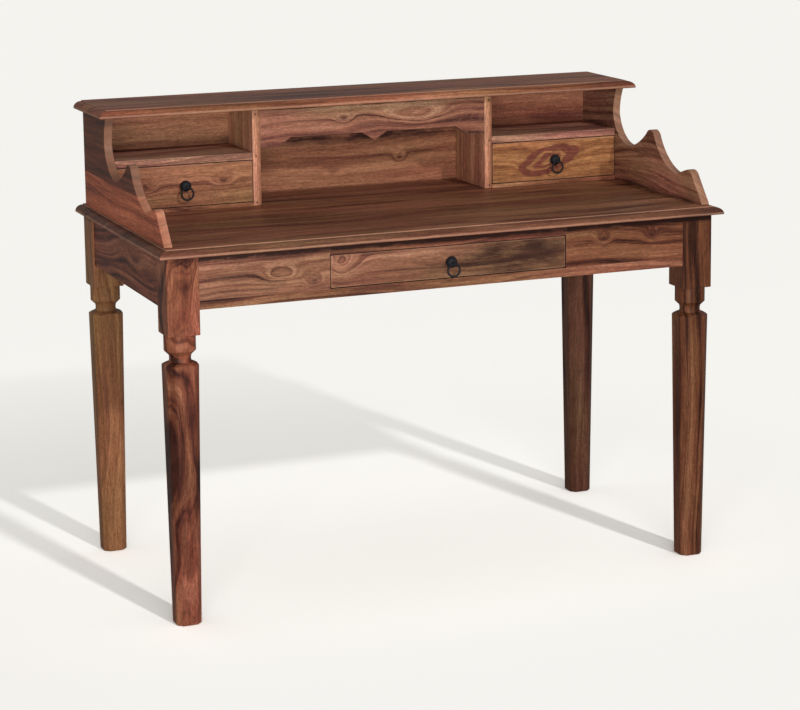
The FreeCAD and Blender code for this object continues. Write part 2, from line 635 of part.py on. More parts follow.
def pull(name, x, face, z):
    """A ring pull: domed knob with an eye and a stem, the ring in the eye, and the nut."""
    rear = (0, 1, 0)
    outline = doc.addObject("Sketcher::SketchObject", "Outline")
    forward = FreeCAD.Vector(0, -1, 0)
    down = FreeCAD.Vector(0, 0, -1)
    outline.Placement = FreeCAD.Placement(
        FreeCAD.Vector(), FreeCAD.Rotation(forward, down, forward.cross(down), "XYZ"))
    corners = [(f"{height} * knob_height", f"{width} * knob_diameter / 2") for height, width in knob_shares]
    draw(outline, ("0", "stem_diameter / 4"), *corners, ("knob_height", "stem_diameter / 4"))
    place(outline, x, face, z)
    dome = facet_sweep("Dome", outline, ((x, face, z), "stem_diameter", round_sides), rear)
    stem = prism("Stem", (x, f"{face} - knob_height", z), rear, "stem_diameter / 2",
                 "knob_height + drawer_front_thickness + stem_tail", stem_sides)
    hole_y = f"{face} - eye_reach"
    hole_z = f"{z} - eye_drop"
    eye = prism("Eye", (f"{x} - eye_thickness / 2", hole_y, hole_z), (1, 0, 0), "eye_diameter / 2",
                "eye_thickness", round_sides)
    solid = doc.addObject("Part::MultiFuse", "KnobBlank")
    solid.Shapes = [dome, stem, eye]
    hole = doc.addObject("Part::Cylinder", "EyeHole")
    turned(hole, (1, 0, 0))
    bind(hole, Radius="ring_wire / 2 + ring_play", Height="eye_thickness + 2 * overrun")
    place(hole, f"{x} - eye_thickness / 2 - overrun", hole_y, hole_z)
    knob = doc.addObject("Part::Cut", f"pull_knob_{name}")
    knob.Label = f"pull_knob_{name}"
    knob.Base = solid
    knob.Tool = hole
    pieces.append(knob)
    radius = "(ring_diameter - ring_wire) / 2"
    low = f"{hole_z} - {radius}"
    wire = polygon("RingWire", (x, hole_y, f"{low} - {radius}"), (1, 0, 0), "ring_wire / 2", wire_sides)
    ring = facet_sweep(f"pull_ring_{name}", wire, ((x, hole_y, low), radius, round_sides), rear)
    ring.Label = f"pull_ring_{name}"
    pieces.append(ring)
    behind = (x, f"{face} + drawer_front_thickness", z)
    hexagon = prism("Hexagon", behind, rear, f"pull_nut_flats * {hexagon_share}", "pull_nut_height", 6)
    bore = prism("Bore", behind, rear, "stem_diameter / 2 + stem_play", "pull_nut_height", stem_sides)
    nut = doc.addObject("Part::Cut", f"pull_nut_{name}")
    nut.Label = f"pull_nut_{name}"
    nut.Base = hexagon
    nut.Tool = bore
    pieces.append(nut)


def drawers():
    """The wide drawer in the apron and the two small ones in the hutch."""
    drawer("centre", "drawer_gap - drawer_opening_width / 2", "(drawer_opening_width - 2 * drawer_gap)",
           APRON_FACE, "centre_drawer_length", f"({OPENING_LOW} + drawer_gap)",
           "(drawer_opening_height - 2 * drawer_gap)", f"({OPENING_LOW} + running_gap)",
           "(drawer_opening_height - 2 * drawer_gap)")
    floor = "(desk_height + bay_floor_thickness)"
    height = "(shelf_rise - bay_floor_thickness - 2 * drawer_gap)"
    for side_name, side in SIDES:
        low_x = f"{DIVIDER_OUTER} + drawer_gap" if side > 0 else f"drawer_gap - {PANEL_INNER}"
        drawer(side_name, low_x, f"({SIDE_BAY} - 2 * drawer_gap)", HUTCH_FRONT,
               f"({BAY_DEPTH} - stop_gap)", f"({floor} + drawer_gap)", height,
               f"({floor} + running_gap)", f"({height} - drawer_side_drop)")


def check():
    """Stop if any object failed, any sub-part is no sound solid, or any cut missed."""
    failed = [item.Name for item in doc.Objects if {"Invalid", "Error"} & set(item.State)]
    if failed:
        raise RuntimeError(f"failed objects: {failed}")
    for piece in pieces:
        if piece.Shape.isNull() or not piece.Shape.isValid() or not piece.Shape.Solids:
            raise RuntimeError(f"{piece.Label} is not a sound solid")
        if piece.isDerivedFrom("Part::Cut") and piece.Shape.Volume >= piece.Base.Shape.Volume:
            raise RuntimeError(f"{piece.Label} was not cut")
    for tool in cuts:
        if tool.Shape.Volume >= tool.BaseFeature.Shape.Volume:
            raise RuntimeError(f"{tool.Name} removes nothing")


fill_sheet()
desktop = moulded_board("desktop", "desk_depth / 2", "desk_depth", TOP_UNDER)
hutch_top = moulded_board("hutch_top", f"{HUTCH_BACK} + hutch_lip_back",
                          "(hutch_depth + hutch_lip_front + hutch_lip_back)", "desk_height + hutch_rise")
for leg_row in ("front", "back"):
    for leg_side in SIDES:
        leg(leg_row, *leg_side)
aprons()
corner_braces()
running_gear()
hutch()
drawers()
doc.recompute()
check()
os.makedirs("parts", exist_ok=True)
for piece in pieces:
    piece.Shape.exportStep(f"parts/{piece.Label}.step")
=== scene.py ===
"""A solid-wood computer desk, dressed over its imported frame.

Every board, leg and pull that shows is a surface worked out here, on the places
that the frame gives. The frame's own nodes serve for the wood inside the desk.
"""

import math

import bpy
import numpy as np
from mathutils import Matrix, Vector


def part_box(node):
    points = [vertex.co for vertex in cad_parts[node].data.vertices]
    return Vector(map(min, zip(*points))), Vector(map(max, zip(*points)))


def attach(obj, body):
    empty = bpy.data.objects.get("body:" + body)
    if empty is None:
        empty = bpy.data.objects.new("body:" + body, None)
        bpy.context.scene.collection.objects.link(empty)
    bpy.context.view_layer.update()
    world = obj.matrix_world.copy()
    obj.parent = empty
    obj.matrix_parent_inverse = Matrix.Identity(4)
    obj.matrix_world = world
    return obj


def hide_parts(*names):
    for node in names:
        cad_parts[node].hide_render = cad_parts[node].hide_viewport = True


bl_info = {
    "name": "Computer desk",
    "version": (1, 0, 0),
    "blender": (4, 5, 0),
    "location": "3D View > Sidebar > Desk",
    "description": "Builds the boards, legs, drawers, pulls and studio of a rosewood desk",
    "category": "Object",
}

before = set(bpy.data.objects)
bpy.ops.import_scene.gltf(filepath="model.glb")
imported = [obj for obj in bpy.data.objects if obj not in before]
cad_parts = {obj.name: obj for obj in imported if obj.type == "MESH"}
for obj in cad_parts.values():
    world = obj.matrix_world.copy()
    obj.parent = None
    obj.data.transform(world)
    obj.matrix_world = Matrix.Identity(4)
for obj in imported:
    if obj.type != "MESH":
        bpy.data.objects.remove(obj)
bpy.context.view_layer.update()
SIDES = (("left", -1), ("right", 1))
DRAWERS = ("centre", "left", "right")
AXES = {"x": (0, 1, 2), "y": (1, 0, 2), "z": (2, 0, 1)}
# An outline's corner is sharp where it turns by more than this
SHARP = math.radians(20)
# Place of a knot or dark patch that a board hasn't got, with no strength
NOWHERE = (9.0, 9.0, 0.0)

# Sizes of the CAD model that the boxes of its nodes don't tell, in metres
DRAWER_GAP = 0.0015
# Leg: block, shaft half widths and run, neck and shoulder, and the collar's profile
# of radius against height above the block's foot
BLOCK_HEIGHT = 0.154
SHAFT_FOOT, SHAFT_HEAD, SHAFT_RUN, NARROW_SHARE = 0.025, 0.033, 0.574, 0.58
NECK_FOOT, NECK_DROP = 0.02225, 0.0535
NECK_CURVE = ((0.021, -0.047), (0.023, -0.038))
SHOULDER_REACH, SHOULDER_DROP, SHOULDER_SHARES, RIM_DROP = 0.0159, 0.0075, (0.58, 0.45), 0.059
COLLAR = ((0.0238, -0.038), (0.0240, -0.0379), (0.0309, -0.0312), (0.0310, -0.0308), (0.0310, -0.0003))
# Side of the hutch: ends and middles of its arcs, as shares
SCALLOPS = ((0.020, 1.000), (-0.010, 0.872), (-0.024, 0.719), (0.0325, 0.517), (0.190, 0.409), (0.285, 0.478),
            (0.370, 0.589), (0.4175, 0.634), (0.465, 0.562), (0.5675, 0.352), (0.715, 0.246), (0.775, 0.291),
            (0.830, 0.323), (0.865, 0.310), (0.890, 0.261))
VALANCE_SHARES, VALANCE_RISE = (0.838, 0.735, 0.11), 0.018
# Pull: height and radius of the knob, eye and ring from its middle, wire's radius, stem
KNOB = ((0.0, 0.0091), (0.0008, 0.0098), (0.002, 0.0106), (0.004, 0.0113), (0.0062, 0.0115), (0.0084, 0.0110),
        (0.0104, 0.0099), (0.0120, 0.0085), (0.0132, 0.0066), (0.0138, 0.0045), (0.0140, 0.0020))
EYE_OFF, EYE_RADIUS, EYE_WALL = (0.0, -0.0170, -0.0020), 0.00335, 0.00108
RING_OFF, RING_RADIUS, WIRE = (0.0, -0.0170, -0.0146), 0.0126, 0.0019
STEM, STEM_END = 0.0025, 0.0230


class DeskShapes(bpy.types.PropertyGroup):
    """Small sizes of the wood and the iron that the frame leaves plain."""

    ease: bpy.props.FloatProperty(
        name="Eased arris", description="Radius of a board's eased edges", default=0.0012, unit="LENGTH")
    front_ease: bpy.props.FloatProperty(
        name="Drawer arris", description="Radius of a drawer front's edges", default=0.0018, unit="LENGTH")
    nose: bpy.props.FloatProperty(
        name="Moulding nose", description="Upright edge below the thumbnail curve", default=0.0035, unit="LENGTH")
    run: bpy.props.FloatProperty(
        name="Moulding run", description="Reach of the thumbnail curve", default=0.016, unit="LENGTH")
    quirk: bpy.props.FloatProperty(
        name="Moulding quirk", description="Small step above the curve", default=0.0022, unit="LENGTH")
    plug: bpy.props.FloatProperty(
        name="Plug", description="Radius of a filled nail hole", default=0.0042, unit="LENGTH")


class DeskWood(bpy.types.PropertyGroup):
    """Stain, figure and polish of the wood."""

    # Pale, made pinker, also paints the highlights on arrises
    pale: bpy.props.FloatVectorProperty(
        name="Pale wood", description="Lightest early wood and worn arrises", subtype="COLOR", size=4,
        default=(0.440, 0.222, 0.118, 1.0))
    light: bpy.props.FloatVectorProperty(
        name="Light wood", description="Golden early wood", subtype="COLOR", size=4,
        default=(0.325, 0.142, 0.074, 1.0))
    middle: bpy.props.FloatVectorProperty(
        name="Middle wood", description="Reddish brown body of the board", subtype="COLOR", size=4,
        default=(0.228, 0.088, 0.045, 1.0))
    streak: bpy.props.FloatVectorProperty(
        name="Streak", description="Purple heart streaks and rings of knots", subtype="COLOR", size=4,
        default=(0.128, 0.043, 0.027, 1.0))
    # Dark also paints the shade in gaps, under overhangs and in shadow bands
    dark: bpy.props.FloatVectorProperty(
        name="Dark wood", description="Late wood, glue lines and knots", subtype="COLOR", size=4,
        default=(0.036, 0.012, 0.008, 1.0))
    spacing: bpy.props.FloatProperty(
        name="Growth lines", description="Distance between growth lines", default=0.0070, unit="LENGTH")
    polish: bpy.props.FloatProperty(
        name="Polish", description="Roughness of the satin finish", default=0.44, min=0.0, max=1.0,
        subtype="FACTOR")
    gloss: bpy.props.FloatProperty(
        name="Gloss", description="Strength of the finish's own reflection", default=0.13, min=0.0, max=1.0,
        subtype="FACTOR")


class DeskIron(bpy.types.PropertyGroup):
    """Blackened iron of the pulls."""

    colour: bpy.props.FloatVectorProperty(
        name="Iron", description="Blackened iron", subtype="COLOR", size=4, default=(0.009, 0.009, 0.010, 1.0))
    rough: bpy.props.FloatProperty(
        name="Roughness", description="Roughness of the waxed iron", default=0.29, subtype="FACTOR")


class DeskStudio(bpy.types.PropertyGroup):
    """Floor, lamps and camera."""

    paper: bpy.props.FloatVectorProperty(
        name="Backdrop", description="Pale paper behind and below", subtype="COLOR", size=4,
        default=(0.905, 0.896, 0.863, 1.0))
    shade: bpy.props.FloatProperty(
        name="Shadow share", description="Share of the floor's look that is real light and shadow",
        default=0.95, min=0.0, max=1.0, subtype="FACTOR")
    lit: bpy.props.FloatProperty(
        name="Floor light", description="Light on the open floor, as a share of full white", default=0.48)
    depth: bpy.props.FloatProperty(
        name="Shadow depth", description="How strongly light and shadow show on the floor", default=2.15, min=1.0)
    mirror: bpy.props.FloatProperty(
        name="Mirrored paper", description="Share of the pale paper that polish and metal show",
        default=0.06, min=0.0, max=1.0, subtype="FACTOR")
    key: bpy.props.FloatProperty(
        name="Key", description="Strength of the key lamp", default=1.0, min=0.0)
    key_softness: bpy.props.FloatProperty(
        name="Key softness", description="Apparent size of the key lamp", default=math.radians(2.6),
        subtype="ANGLE")
    key_way: bpy.props.FloatVectorProperty(
        name="Key direction", description="From the desk towards the key lamp", size=3, subtype="DIRECTION",
        default=(0.183, -0.849, 0.496))
    front: bpy.props.FloatProperty(
        name="Front softbox", description="Power of the wide lamp in front of the desk", default=205.0,
        unit="POWER")
    front_place: bpy.props.FloatVectorProperty(
        name="Softbox place", description="Where the wide lamp stands", size=3, subtype="TRANSLATION",
        unit="LENGTH", default=(-1.8, -5.3, 0.9))
    fill: bpy.props.FloatProperty(
        name="Fill", description="Strength of the soft light from all round", default=0.30, min=0.0)
    lens: bpy.props.FloatProperty(
        name="Lens", description="Focal length on a 36 mm wide sensor", default=113.04)
    eye: bpy.props.FloatVectorProperty(
        name="Camera place", description="Where the camera stands", size=3, subtype="TRANSLATION",
        unit="LENGTH", default=(-1.8948, -4.7689, 1.5896))
    aim: bpy.props.FloatVectorProperty(
        name="Camera turn", description="Heading from straight ahead, tilt down and roll", size=3,
        subtype="EULER", default=(0.3980, 0.1754, -0.0088))
    shift: bpy.props.FloatVectorProperty(
        name="Camera shift", description="Across and up, as shares of the picture's width", size=2,
        default=(-0.0573, -0.15))


# Surfaces


def placed(name, data):
    """A new object in the scene."""
    piece = bpy.data.objects.new(name, data)
    bpy.context.scene.collection.objects.link(piece)
    return piece


def surface(name, rings, ring_joined=True, stack_joined=False, arris=None):
    """Skin a grid of points, one row for each ring.

    Point j of ring i joins point j + 1 of the same ring and point j of ring
    i + 1. Rings are closed loops where ring_joined, the last ring meets the
    first where stack_joined, and otherwise both end rings are filled flat. The
    volume is summed as a third of point times area over the faces, and the
    faces are turned round where it comes out negative.
    """
    count, around = rings.shape[:2]
    i = np.arange(count if stack_joined else count - 1)[:, None]
    j = np.arange(around if ring_joined else around - 1)[None, :]
    after_i, after_j = (i + 1) % count, (j + 1) % around
    quads = np.stack([i * around + j, i * around + after_j, after_i * around + after_j, after_i * around + j], -1)
    quads = quads.reshape(-1, 4)
    points = rings.reshape(-1, 3)
    middle = points.mean(0)
    a, b, c, d = (points[quads[:, k]] - middle for k in range(4))
    volume = np.einsum("ij,ij->", a, np.cross(b - a, c - a) + np.cross(c - a, d - a))
    faces = quads.tolist()
    if not stack_joined and ring_joined:
        caps = [np.arange(around)[::-1], np.arange(around) + (count - 1) * around]
        for cap in caps:
            corner = points[cap] - middle
            fan = np.cross(corner[1:-1] - corner[0], corner[2:] - corner[0])
            volume += np.einsum("j,ij->", corner[0], fan)
            faces.append(cap.tolist())
    if volume < 0:
        faces = [face[::-1] for face in faces]
    mesh = bpy.data.meshes.new(name)
    mesh.from_pydata(points, [], faces)
    mesh.polygons.foreach_set("use_smooth", np.ones(len(faces), dtype=bool))
    mesh.update()
    # The arris attribute holds, ring by ring, wear with painted highlights above zero and painted shade below
    if arris is not None:
        wear_and_shading = mesh.attributes.new("arris", "FLOAT", "POINT")
        wear_and_shading.data.foreach_set("value", np.repeat(arris, around).astype(np.float32))
    return placed(name, mesh)


def soften(outline, radius, steps=5):
    """Round the sharp corners of a flat outline.

    A corner c that turns by the angle a becomes the curve
    (1 - t)^2 p + 2 t (1 - t) c + t^2 q, where p and q lie on its two sides, at
    1.1 * radius * sin(a/2) / cos(a/2)^2 from c. So the curve is nowhere tighter than
    the radius. Points that crowd a corner are left out first, and corners that
    turn by less than 20 degrees stay as they are.
    """
    def turning(points):
        back, ahead = np.roll(points, 1, axis=0) - points, np.roll(points, -1, axis=0) - points
        back /= np.linalg.norm(back, axis=1, keepdims=True)
        ahead /= np.linalg.norm(ahead, axis=1, keepdims=True)
        return back, ahead, np.pi - np.arccos(np.clip((back * ahead).sum(1), -1, 1))

    def reach(angle):
        return 1.1 * radius * np.sin(angle / 2) / np.cos(angle / 2) ** 2

    angle = turning(outline)[2]
    sharp = angle > SHARP
    away = np.linalg.norm(outline[:, None] - outline[None, sharp], axis=2)
    outline = outline[sharp | (away > 1.5 * reach(angle[sharp])).all(1)]
    back, ahead, angle = turning(outline)
    sharp = angle > SHARP
    length = np.where(sharp, reach(angle), 0)[:, None, None]
    t = np.linspace(0, 1, steps)[None, :, None]
    curve = outline[:, None] + length * ((1 - t) ** 2 * back[:, None] + t ** 2 * ahead[:, None])
    keep = np.repeat(sharp[:, None], steps, axis=1)
    keep[:, 0] = True
    return curve[keep]


def inset(outline, distance):
    """Move a flat outline inwards: each point goes along the mitre of its two sides."""
    side = np.roll(outline, -1, axis=0) - outline
    normal = np.stack([side[:, 1], -side[:, 0]], 1) / np.linalg.norm(side, axis=1, keepdims=True)
    area = (outline[:, 0] * np.roll(outline[:, 1], -1) - outline[:, 1] * np.roll(outline[:, 0], -1)).sum()
    normal *= np.sign(area)
    last = np.roll(normal, 1, axis=0)
    mitre = (normal + last) / (1 + (normal * last).sum(1, keepdims=True))
    return outline - mitre * distance


def eased_stack(outline, low, high, ease, edge_wear_and_shading=0.0, steps=4):
    """Levels and outlines of a board's edge: a quarter round, the straight edge, a quarter round.

    At angle a from 0 to 90 degrees a ring lies ease * (1 - cos a) from the face
    and is drawn in by ease * (1 - sin a). Wear with a painted highlight is sin 2a,
    and on the edge between at least the edge value given; where that value is
    below zero, the edge is painted dark instead, as shade.
    """
    angle = np.linspace(0, math.pi / 2, steps)
    rise = ease * (1 - np.cos(angle))
    draw_in = ease * (1 - np.sin(angle))
    levels = np.concatenate([low + rise, high - rise[::-1]])
    loops = [inset(outline, distance) for distance in np.concatenate([draw_in, draw_in[::-1]])]
    # Pale arrises are wear and a painted highlight; a value below zero paints the edge dark as shade
    wear_and_shading = np.sin(2 * angle)
    wear_and_shading[-2:] = np.maximum(wear_and_shading[-2:], edge_wear_and_shading)
    wear_and_shading[-1] = edge_wear_and_shading if edge_wear_and_shading < 0 else wear_and_shading[-1]
    return levels, np.array(loops), np.concatenate([wear_and_shading, wear_and_shading[::-1]])


def lay(loops, levels, axis):
    """Put flat outlines at their levels along an axis of the desk."""
    rings = np.empty(loops.shape[:2] + (3,))
    up, first, second = AXES[axis]
    rings[..., up] = levels[:, None]
    rings[..., first] = loops[..., 0]
    rings[..., second] = loops[..., 1]
    return rings


def slab(name, outline, low, high, axis, ease, edge_wear_and_shading=0.0):
    """A board of any outline, with its arrises eased."""
    levels, loops, wear_and_shading = eased_stack(soften(outline, ease), low, high, ease, edge_wear_and_shading)
    return surface(name, lay(loops, levels, axis), arris=wear_and_shading)


def rectangle(low, high):
    """Corners of an upright rectangle, anticlockwise."""
    return np.array([low, (high[0], low[1]), high, (low[0], high[1])], dtype=float)


def board(name, low, high, ease, axis=None, edge_wear_and_shading=0.0):
    """A plain board between two corners; its outline lies across its thinnest way."""
    low, high = np.array(low, dtype=float), np.array(high, dtype=float)
    axis = axis or "xyz"[int(np.argmin(high - low))]
    up, first, second = AXES[axis]
    outline = rectangle(low[[first, second]], high[[first, second]])
    return slab(name, outline, low[up], high[up], axis, ease, edge_wear_and_shading)


def arc_through(start, middle, end, steps=14):
    """Points of the circle through three points, from the first to the last.

    The centre is where the perpendicular bisectors of the two chords meet, and
    the angle runs evenly from start to end on the side of the middle point.
    """
    start, middle, end = (np.array(p, dtype=float) for p in (start, middle, end))
    rows = 2 * np.array([middle - start, end - start])
    centre = np.linalg.solve(rows, [middle @ middle - start @ start, end @ end - start @ start])
    a, m, b = (math.atan2(*(p - centre)[::-1]) for p in (start, middle, end))
    turn_m, turn_b = (m - a) % math.tau, (b - a) % math.tau
    sweep = turn_b if turn_m < turn_b else turn_b - math.tau
    angle = a + np.linspace(0, 1, steps) * sweep
    radius = np.linalg.norm(start - centre)
    return centre + radius * np.stack([np.cos(angle), np.sin(angle)], 1)


def spun(name, at, radius, depth, sides):
    """A round piece turned about a line from front to back.

    A point lies radius * cos a across and radius * sin a up from the line, and
    its depth behind the place.
    """
    angle = np.linspace(0, math.tau, sides, endpoint=False)
    radius, depth = np.array(radius)[:, None], np.array(depth)[:, None]
    return surface(name, np.stack([at[0] + radius * np.cos(angle), at[1] + depth + 0 * angle,
                                   at[2] + radius * np.sin(angle)], -1))


def span(node):
    """Lowest and highest corner of a frame node, as arrays."""
    low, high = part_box(node)
    return np.array(low), np.array(high)


# Wood


def grain(piece, order, seed, tint=(1.0, 1.0, 1.0), contrast=1.0, wave=1.0, knots=(), cloud=None,
          stave=(10.0, 0.0, 0.0), fade=None):
    """Give a board its own wood.

    order names the axes along the grain, across it and through the board. The
    attribute wood holds a point's place in that order, in metres. board holds
    seed, contrast and waviness, tint the board's own colour, which on some
    boards is also lifted as painted light. The attributes knot_a and knot_b, and
    that of the dark patch, hold the distance from a heart in units of its size,
    and its strength: a knot is (along, across, length, width, strength, lean),
    and a dark patch is the same; lean is how far it rises across for its length.
    A dark patch serves for patches in the wood and for painted shadow bands under
    overhangs. Below zero a knot only bends the lines, and above 1 it has a wide
    rosy rim. stave holds the width of the glued staves, where one starts, and how
    much they differ. The face factor is a factor of the tint on the lowest face
    through the board, and evens out towards the highest; it paints light and
    shade onto that face.
    """
    mesh = piece.data
    places = np.empty(len(mesh.vertices) * 3, dtype=np.float32)
    mesh.vertices.foreach_get("co", places)
    places = places.reshape(-1, 3)[:, ["xyz".index(axis) for axis in order]]
    if fade is not None:
        share = (places[:, 2:].max() - places[:, 2:]) / np.ptp(places[:, 2])
        tint = np.array(tint) * (1 + (np.array(fade) - 1) * share)
    rows = {"wood": places, "board": (seed, contrast, wave), "tint": tint, "stave": stave}
    hearts = {"knot_a": None, "knot_b": None, "cloud": cloud, **dict(zip(("knot_a", "knot_b"), knots))}
    for key, heart in hearts.items():
        if heart is None:
            rows[key] = NOWHERE
            continue
        along, across, length, width, strength, lean = (*heart, 0.0)[:6]
        away = (places - (along, across, 0)) / (length, width, 1)
        away[:, 1] -= lean * away[:, 0]
        away[:, 2] = strength
        rows[key] = away
    for key, value in rows.items():
        layer = mesh.attributes.new(key, "FLOAT_VECTOR", "POINT")
        layer.data.foreach_set("vector", np.broadcast_to(value, places.shape).astype(np.float32).ravel())


def dress(piece, body, material, nodes=()):
    """Set a finished piece on its body, with its finish and the nodes that it stands for."""
    piece.data.materials.append(material)
    even = piece.modifiers.new("Even shading", "WEIGHTED_NORMAL")
    even.keep_sharp = True
    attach(piece, body)
    if nodes:
        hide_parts(*nodes)


def framed(piece, replaced, *wood, **figure):
    """Give a board of the desk's frame its wood, and let it stand for a node."""
    grain(piece, *wood, **figure)
    dress(piece, "desk", rosewood("rosewood_frame"), [replaced])


def plank(name, low, high, ease, *wood, **figure):
    """A plain board of the desk's frame, in place of the node of that name."""
    framed(board(name + "_board", low, high, ease), name, *wood, **figure)


def paint(name, material):
    """Give a frame node a finish of its own."""
    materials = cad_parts[name].data.materials
    materials.clear()
    materials.append(material)


# Shader trees


class Wire:
    """An output in a shader tree. Sums written with + - * and / become Math nodes."""

    def __init__(self, socket):
        self.socket = socket
        self.tree = socket.id_data

    def to(self, socket):
        """Link it to an input."""
        self.tree.links.new(self.socket, socket)

    def __add__(self, other):
        return calc("ADD", self, other)

    def __sub__(self, other):
        return calc("SUBTRACT", self, other)

    def __rsub__(self, other):
        return calc("SUBTRACT", other, self)

    def __mul__(self, other):
        return calc("MULTIPLY", self, other)

    def __truediv__(self, other):
        return calc("DIVIDE", self, other)

    def __rtruediv__(self, other):
        return calc("DIVIDE", other, self)


def node(tree, kind, inputs=None, out=0, **settings):
    """Add a shader node, set it up, set or link its inputs, and give one output or several."""
    made = tree.nodes.new(kind)
    for key, value in settings.items():
        setattr(made, key, value)
    for key, value in (inputs or {}).items():
        if isinstance(value, Wire):
            value.to(made.inputs[key])
        else:
            made.inputs[key].default_value = value
    if isinstance(out, tuple):
        return [Wire(made.outputs[key]) for key in out]
    return Wire(made.outputs[out]) if len(made.outputs) else None


def tree_of(*values):
    """The tree of the first wire among some values."""
    return next(value.tree for value in values if isinstance(value, Wire))


def calc(operation, *values, clamp=False):
    """A Math node's result."""
    return node(tree_of(*values), "ShaderNodeMath", dict(enumerate(values)), operation=operation, use_clamp=clamp)


def vector(operation, *values):
    """A Vector Math node's result."""
    return node(tree_of(*values), "ShaderNodeVectorMath", dict(enumerate(values)),
                "Value" if operation == "LENGTH" else "Vector", operation=operation)


def scaled(value, factor):
    """A vector or colour times a number."""
    return node(factor.tree, "ShaderNodeVectorMath", {0: value, "Scale": factor}, operation="SCALE")


def split(value):
    """The three parts of a vector."""
    return node(value.tree, "ShaderNodeSeparateXYZ", {0: value}, (0, 1, 2))


def join(x, y, z=0.0):
    """A vector from its parts."""
    return node(x.tree, "ShaderNodeCombineXYZ", {0: x, 1: y, 2: z})


def blend(factor, one, other, how="MIX"):
    """One colour mixed with another."""
    return node(tree_of(factor, one, other), "ShaderNodeMix", {0: factor, 6: one, 7: other}, 2,
                data_type="RGBA", blend_type=how)


def noise(place, detail=2.0, rough=0.5, out=0):
    """Soft noise at a place that is already scaled."""
    return node(place.tree, "ShaderNodeTexNoise",
                {"Vector": place, "Scale": 1.0, "Detail": detail, "Roughness": rough}, out)


def grit(place, along, across, detail=2.0, rough=0.5, out=0):
    """Soft noise with so many waves a metre along the grain and across it."""
    return noise(vector("MULTIPLY", place, (along, across, across)), detail, rough, out)


def chance(seed, out=0):
    """A random number, or with out 1 a random vector, for each seed."""
    return node(seed.tree, "ShaderNodeTexWhiteNoise", {"W": seed}, out, noise_dimensions="1D")


def ramp(value, low, high, start=0.0, end=1.0):
    """A value carried smoothly from one range to another, held at both ends."""
    return node(value.tree, "ShaderNodeMapRange", {0: value, 1: low, 2: high, 3: start, 4: end},
                interpolation_type="SMOOTHSTEP")


def new_group(name, takes, gives):
    """An empty shader node group: its inputs as wires by name, and its output sockets."""
    tree = bpy.data.node_groups.new(name, "ShaderNodeTree")
    for way, keys in (("INPUT", takes), ("OUTPUT", gives)):
        for key, kind in keys:
            tree.interface.new_socket(key, in_out=way, socket_type=kind)
    given = {socket.name: Wire(socket) for socket in tree.nodes.new("NodeGroupInput").outputs if socket.name}
    return given, tree.nodes.new("NodeGroupOutput").inputs


def group(tree, name, build, out, inputs):
    """Place a shared node group, built the first time it is asked for."""
    if name not in bpy.data.node_groups:
        build(name)
    return node(tree, "ShaderNodeGroup", inputs, out, node_tree=bpy.data.node_groups[name])


FLOAT, VECTOR, COLOUR = "NodeSocketFloat", "NodeSocketVector", "NodeSocketColor"
STAINS = ("Pale", "Light", "Middle", "Streak", "Dark")
# Noise: waves a metre along the grain and across it, then its detail and roughness
SLOW, QUICK, WOBBLE, BROKEN = (2.4, 9.0, 1.0), (9.0, 40.0, 1.0), (18.0, 40.0, 1.0), (9.0, 60.0)
PATCH, BLUSH, MOTTLE, FIBRE = (3.2, 23.0, 3.0, 0.6), (2.6, 8.0), (16.0, 55.0, 3.0, 0.6), (22.0, 650.0, 2.0, 0.6)
FLECK, SPECK, PORE = (34.0, 260.0, 2.0, 0.6), (130.0, 330.0, 3.0, 0.7), (85.0, 1500.0, 1.0)
HAMMERED, GRAINY = (320.0, 320.0, 3.0, 0.6), (1700.0, 1700.0)
# How far the pith line sways beside and below the board, its own offset, and its depth, in metres
SWAY_BESIDE, SWAY_BELOW, PITH_OFFSET, PITH_DEPTH = 0.18, 0.40, 0.10, 0.035
SLOW_BEND, QUICK_BEND, KNOT_HUMP = 0.11, 0.009, 0.036
# Level of the figure at which each colour begins and is full
BANDS = (("Streak", 0.0, 0.30), ("Middle", 0.20, 0.50), ("Light", 0.45, 0.75), ("Pale", 0.78, 1.15))
BROAD_SHARE, NARROW_BAND_SHARE, PATCH_SHARE, FIGURE_GAIN, FIGURE_LEVEL = 0.54, 0.16, 0.30, 4.5, 0.57
# Knots: reach at which a mark is full and gone, and its strength; a rim has its middle first
HALO, HEART, EYE = (0.50, 1.6, 0.42), (0.12, 0.60, 0.70), (0.80, 1.00, 0.80)
RIMS = ((0.94, 0.13, 0.28, 1.0), (0.38, 0.06, 0.24, 0.85))
SEAM_WIDTH = 0.0011


def staves_group(name):
    """Glued staves: each has its own wood and tone, with a thin dark glue line between them.

    A stave's number is the whole part of (across - start) / width. Random
    numbers for it move the wood along the grain. They change its tone too, by
    the third stave value, or where that is below zero the staves take turns.
    """
    given, made = new_group(name, (("Wood", VECTOR), ("Board", VECTOR), ("Stave", VECTOR)),
                            (("Wood", VECTOR), ("Tone", FLOAT), ("Seam", FLOAT)))
    along, across, _ = split(given["Wood"])
    width, start, differ = split(given["Stave"])
    seed = split(given["Board"])[0]
    wander = calc("SINE", along * 3.1) * 0.0006
    number = (across + wander - start) / width
    whole = calc("FLOOR", number)
    luck = whole + seed
    vector("ADD", given["Wood"], vector("MULTIPLY", chance(luck, 1), (6.0, 0.9, 0.7))).to(made["Wood"])
    tone = (chance(luck) - 0.5) * calc("MAXIMUM", differ, 0.0)
    turns = (calc("FLOORED_MODULO", whole, 2.0) - 0.5) * calc("MINIMUM", differ, 0.0)
    (tone + turns).to(made["Tone"])
    from_seam = (0.5 - calc("ABSOLUTE", number - whole - 0.5)) * width
    ramp(from_seam, 0.0, SEAM_WIDTH, 1.0, 0.0).to(made["Seam"])


